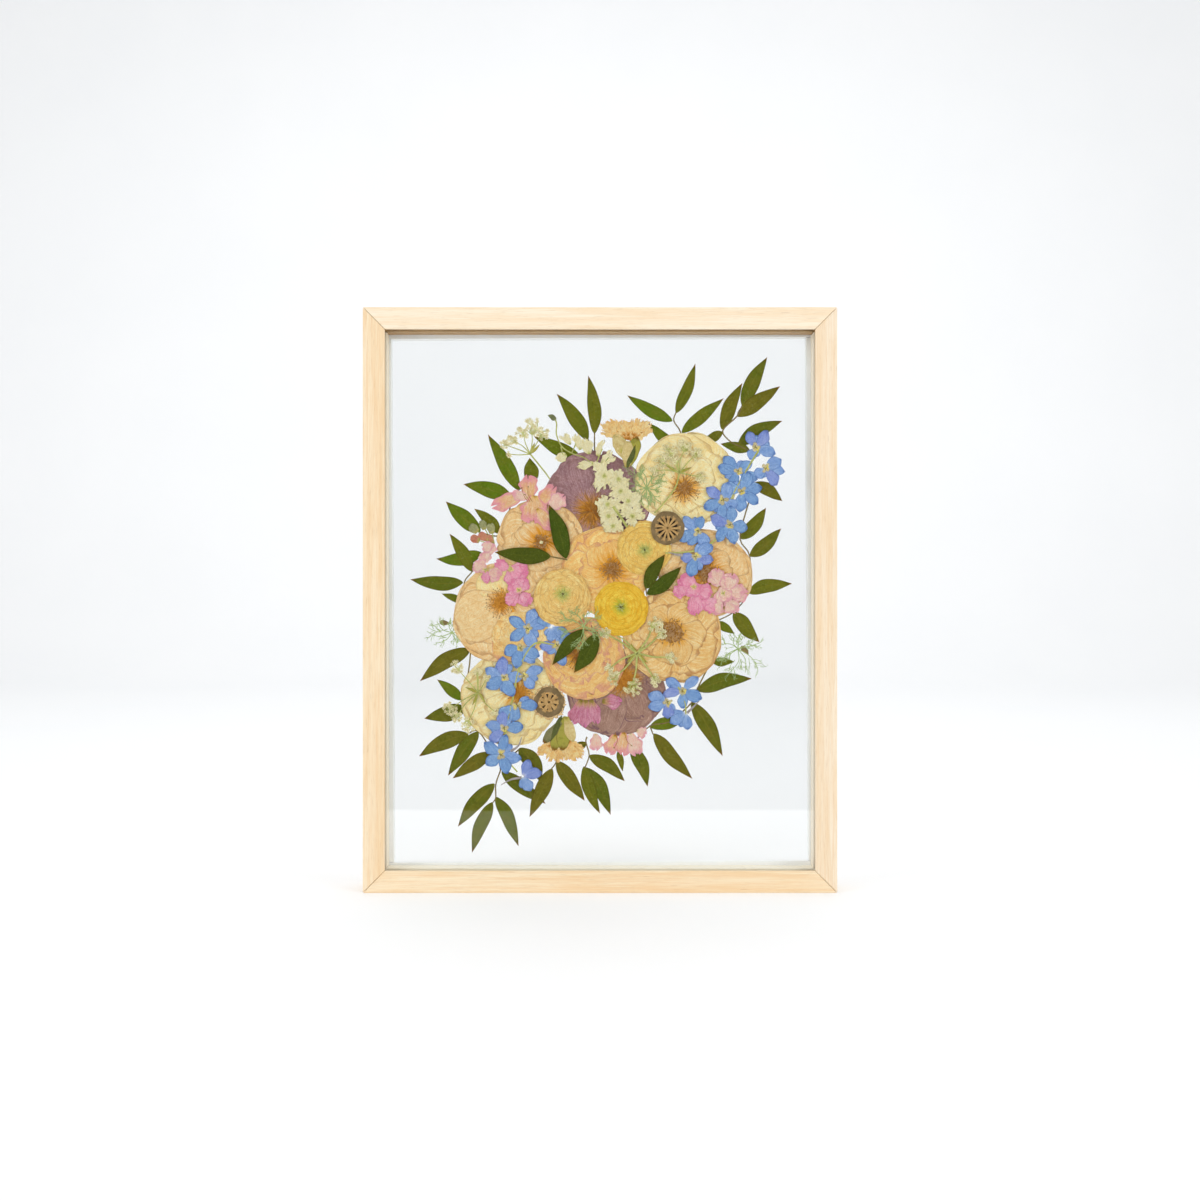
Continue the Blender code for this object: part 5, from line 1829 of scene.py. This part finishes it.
def delphiniums() -> list[Pressed]:
    """Returns the blue florets on their stems."""
    upper = [
        Floret((127, 118), [(118, 128), (113, 121), (123, 111), (134, 123), (138, 114)]),
        Floret((143, 140), [(141, 136), (149, 142), (155, 136), (139, 148), (150, 150)], Finish.PALE_BLUE),
        Floret((152, 121), [(161, 126), (163, 119), (158, 112), (148, 117)], Finish.PALE_BLUE),
        Floret((130, 100), [(143, 102), (144, 89), (129, 84), (134, 111), (121, 103)]),
        Floret((113, 92), [(102, 100), (116, 102), (120, 89), (111, 79), (101, 87)]),
        Floret((119, 69), [(129, 67), (122, 58), (108, 54), (104, 76), (120, 80)]),
        Floret((90, 63), [(79, 74), (92, 70), (95, 56), (85, 56), (76, 56)]),
        Floret((88, 40), [(81, 39), (97, 38), (97, 46), (85, 28)], spur=[(76, 41), (69, 42), (63, 44)]),
    ]
    left = [
        Floret((-67, -26), [(-78, -19), (-63, -15), (-78, -34), (-63, -37), (-55, -22)]),
        Floret((-45, -25), [(-45, -31), (-36, -30), (-52, -20)], face=False),
        Floret((-39, -42), [(-48, -42), (-33, -61), (-32, -36)]),
        Floret((-73, -44), [(-81, -47), (-65, -52), (-76, -59), (-55, -52)]),
        Floret((-70, -70), [(-78, -70), (-58, -65), (-65, -76)], Finish.PALE_BLUE),
        Floret((-88, -71), [(-103, -64), (-89, -59), (-100, -78), (-82, -83)]),
        Floret((-76, -97), [(-90, -103), (-65, -97), (-78, -105)]),
        Floret((-88, -118), [(-98, -116), (-78, -117), (-89, -109), (-96, -125)]),
        Floret((-91, -142), [(-88, -131), (-102, -134), (-99, -147), (-79, -145), (-87, -153)],
            spur=[(-82, -139), (-75, -134), (-72, -126)]),
        Floret((-71, -162), [(-68, -154), (-67, -169), (-61, -160)], Finish.PALE_BLUE, False,
            [(-72, -163), (-82, -165), (-91, -170)]),
    ]
    right = [Floret((76, -84), [(62, -74), (86, -75), (87, -88), (65, -86), (76, -93)]),
        Floret((62, -94), [(51, -89), (51, -97), (62, -102)], Finish.PALE_BLUE),
        Floret((79, -104), [(76, -110), (71, -109), (80, -112)], Finish.PALE_BLUE, False,
            [(80, -104), (86, -98), (91, -93)]),]
    return [
        Delphinium("delphinium_upper_right", 60, [(146, 138), (134, 118), (120, 92), (112, 62), (90, 46),
                (60, 43)], upper),
        Delphinium("delphinium_lower_left", 61, [(-39, -42), (-60, -40), (-74, -62), (-80, -90),
                (-86, -118), (-88, -142), (-76, -158)], left),
        Delphinium("delphinium_lower_right", 62, [(72, -80), (78, -94), (79, -106)], right),
    ]


def small_flowers() -> list[Pressed]:
    """Returns the clusters of small florets and the loose petals."""
    pink, pale, blush, streaked = Finish.PINK, Finish.PALE_PINK, Finish.BLUSH, Finish.STREAKED
    bud = Finish.GREEN_BUD
    return [
        SmallFlorets("pink_cluster_left", 70, [(-105, 28), (-82, 28), (-74, 9)],
            [(-102, 47, 6, 6, pale), (-105, 39, 5, 5, pale), (-110, 30, 7, 6, pale),
                (-97, 24, 6, 6, pale), (-105, 22, 4, 7, pink), (-90, 32, 8, 5, pink),
                (-83, 20, 6, 5, pink), (-74, 28, 8, 8, pink), (-72, 14, 6, 8, pink),
                (-80, 2, 6, 6, pink), (-69, 1, 6, 7, pink), (-78, 12, 6, 6, pink)]),
        SmallFlorets("pink_cluster_right", 71, [(86, 12), (113, 6)], [(80, 16, 9, 8, pink),
                (87, 10, 9, 8, pink), (74, 8, 6, 7, pink), (96, 8, 7, 7, pink), (88, -4, 11, 7, pink),
                (107, 20, 8, 8, pale), (118, 17, 8, 8, pale), (127, 6, 9, 8, pale),
                (113, 4, 9, 8, pale), (108, -7, 8, 6, pale), (121, -6, 8, 6, pale),
                (100, -4, 7, 6, pink)], notch=0.12),
        LoosePetals("alstroemeria_upper", 72, [((-71, 97), (-98, 86), 15, blush),
                ((-64, 92), (-66, 114), 17, blush), ((-58, 84), (-42, 104), 14, blush),
                ((-60, 96), (-62, 72), 25, blush), ((-46, 84), (-33, 96), 16, pale),
                ((-58, 84), (-45, 66), 15, blush), ((-66, 94), (-80, 98), 10, pale)],
            [[(-66, 90), (-70, 96), (-72, 103)], [(-64, 90), (-69, 97)], [(-62, 90), (-66, 97),
                (-66, 104)]]),
        LoosePetals("alstroemeria_pink", 73, [((-17, -92), (-26, -113), 13, streaked),
                ((-13, -92), (-15, -116), 13, streaked), ((-8, -92), (-4, -113), 12, streaked),
                ((2, -93), (19, -95), 13, streaked)]),
        LoosePetals("alstroemeria_pale", 74, [((-4, -123), (-4, -138), 12, pale),
                ((14, -124), (8, -141), 14, blush), ((22, -122), (20, -142), 16, blush),
                ((28, -123), (34, -142), 15, pale), ((34, -120), (42, -124), 11, pale)],
            [[(14, -122), (16, -130), (13, -136)], [(22, -121), (25, -130), (29, -134)]]),
        Buds("bud_cluster", 75, [(-116, 66, 5, 5, bud), (-108, 69, 5, 4.5, bud), (-100, 66, 5, 5, bud),
                (-115, 56, 5.5, 4.5, Finish.ROSE_BUD), (-107, 58, 5.5, 5.5, Finish.ROSE_BUD),
                (-101, 56, 4, 4.5, Finish.ROSE_BUD)]),
        Larkspur("larkspur_white", 76, [(17, 111, 9), (7, 88, 10), (26, 91, 10), (8, 77, 9), (30, 77, 9),
                (12, 68, 8), (4, 114, 12), (19, 100, 9)], [((-31, 134), (-38, 129), 9),
                ((-27, 143), (-34, 151), 9), ((-18, 138), (-22, 149), 10), ((-10, 134), (-13, 146), 10),
                ((-2, 132), (2, 143), 8), ((2, 126), (11, 134), 9), ((-6, 126), (-17, 122), 10)],
            [[(-44, 169), (-40, 163), (-40, 152), (-35, 141), (-26, 135), (-15, 131), (-8, 126),
                (0, 122)], [(-22, 144), (-26, 135)], [(-36, 141), (-34, 133)], [(2, 139), (-4, 124)],
                [(8, 131), (0, 121)]], [(12, 86), (17, 79), (25, 67)], ((-40, 166), (-48, 170))),
        Carnation("carnation_top", 77, (24, 157), half_width=23, half_height=8.5, stalk=-1,
            foot=(26, 124), cup=[((26, 128), (14, 152), 13, Finish.CUP),
                ((27, 124), (34, 150), 12, Finish.CALYX), ((22, 136), (14, 150), 12, Finish.CUP),
                ((25, 122), (26, 146), 11, Finish.CUP)], strap=[(33, 143), (29, 133), (25, 121)]),
        Carnation("carnation_bottom", 78, (-36.5, -139), half_width=21, half_height=8.5, stalk=1,
            foot=(-32, -106), cup=[((-34, -108), (-43, -138), 12, Finish.CALYX),
                ((-31, -107), (-35, -138), 13, Finish.CALYX),
                ((-36, -112), (-52, -131), 9, Finish.GREY_LEAF),
                ((-31, -108), (-25, -130), 10, Finish.CUP)], strap=[(-46, -131), (-41, -118),
                (-35, -106)]),
    ]


def umbels_and_pods() -> list[Pressed]:
    """Returns the umbels and the seed heads."""
    return [
        Umbel("umbel_top_left", 80, (-64, 134), [(-62, 158, 9), (-53, 153, 6), (-71, 154, 6),
                (-80, 147, 5), (-88, 143, 4), (-84, 134, 2)], [(-64, 134), (-51, 118), (-46, 111)],
            [(-60, 145), (-55, 143)]),
        Umbel("umbel_top_right", 81, (73, 117), [(64, 137, 8), (78, 141, 7), (88, 134, 6), (56, 128, 6),
                (92, 113, 5), (50, 119, 4), (70, 128, 4)], [(73, 117), (69, 103), (56, 86), (50, 80)],
            [(60, 124), (84, 122)]),
        Umbel("umbel_centre", 82, (34, -49), [(50, -22, 7), (56, -31, 5), (65, -53, 5), (51, -74, 6),
                (30, -80, 8), (13, -72, 6), (8, -63, 4), (4, -30, 5)], [(34, -49), (24, -38),
                (16, -33)], [(44, -58), (24, -58), (28, -40)], 1.9),
        Umbel("umbel_left", 83, (-112, -85), [(-132, -62, 6), (-138, -100, 6), (-132, -107, 5),
                (-122, -115, 7), (-97, -103, 3), (-112, -66, 3), (-104, -72, 3)],
            [(-112, -85), (-113, -66)], [(-105, -94), (-117, -97), (-124, -80)]),
        SeedHead("seed_head_upper", 84, (62, 66), 15.5, 11.5, 13, 0.45),
        SeedHead("seed_head_lower", 85, (-47, -94), 15, 9.5, 9, 0.22, True),
    ]


def fronds() -> list[Frond]:
    """Returns the feathery green fronds."""
    return [
        Frond("frond_upper", (43, 103), -9.65, (19, 16, 17, 25), 90, 11),
        Frond("frond_centre", (-15, -24), -11.7, (23, 19, 21, 16), 91, 9),
        Frond("frond_left", (-136, -30), -9.15, (26, 10, 17, 13), 92, 9, ((-148, -20), (-138, -22))),
        Frond("frond_right", (127, -45), -8.65, (17, 24, 28, 12), 93, 11, ((130, -42), (137, -51))),
    ]


def main() -> None:
    """Builds the studio, dresses the frame and makes the bouquet from back to front."""
    logging.basicConfig(level=logging.INFO, format="%(message)s")
    Studio().build()
    build_effects()
    Frame().dress()
    for piece in roses() + sprays() + delphiniums() + small_flowers() + umbels_and_pods() + fronds():
        piece.make()


if __name__ == "__main__":
    main()
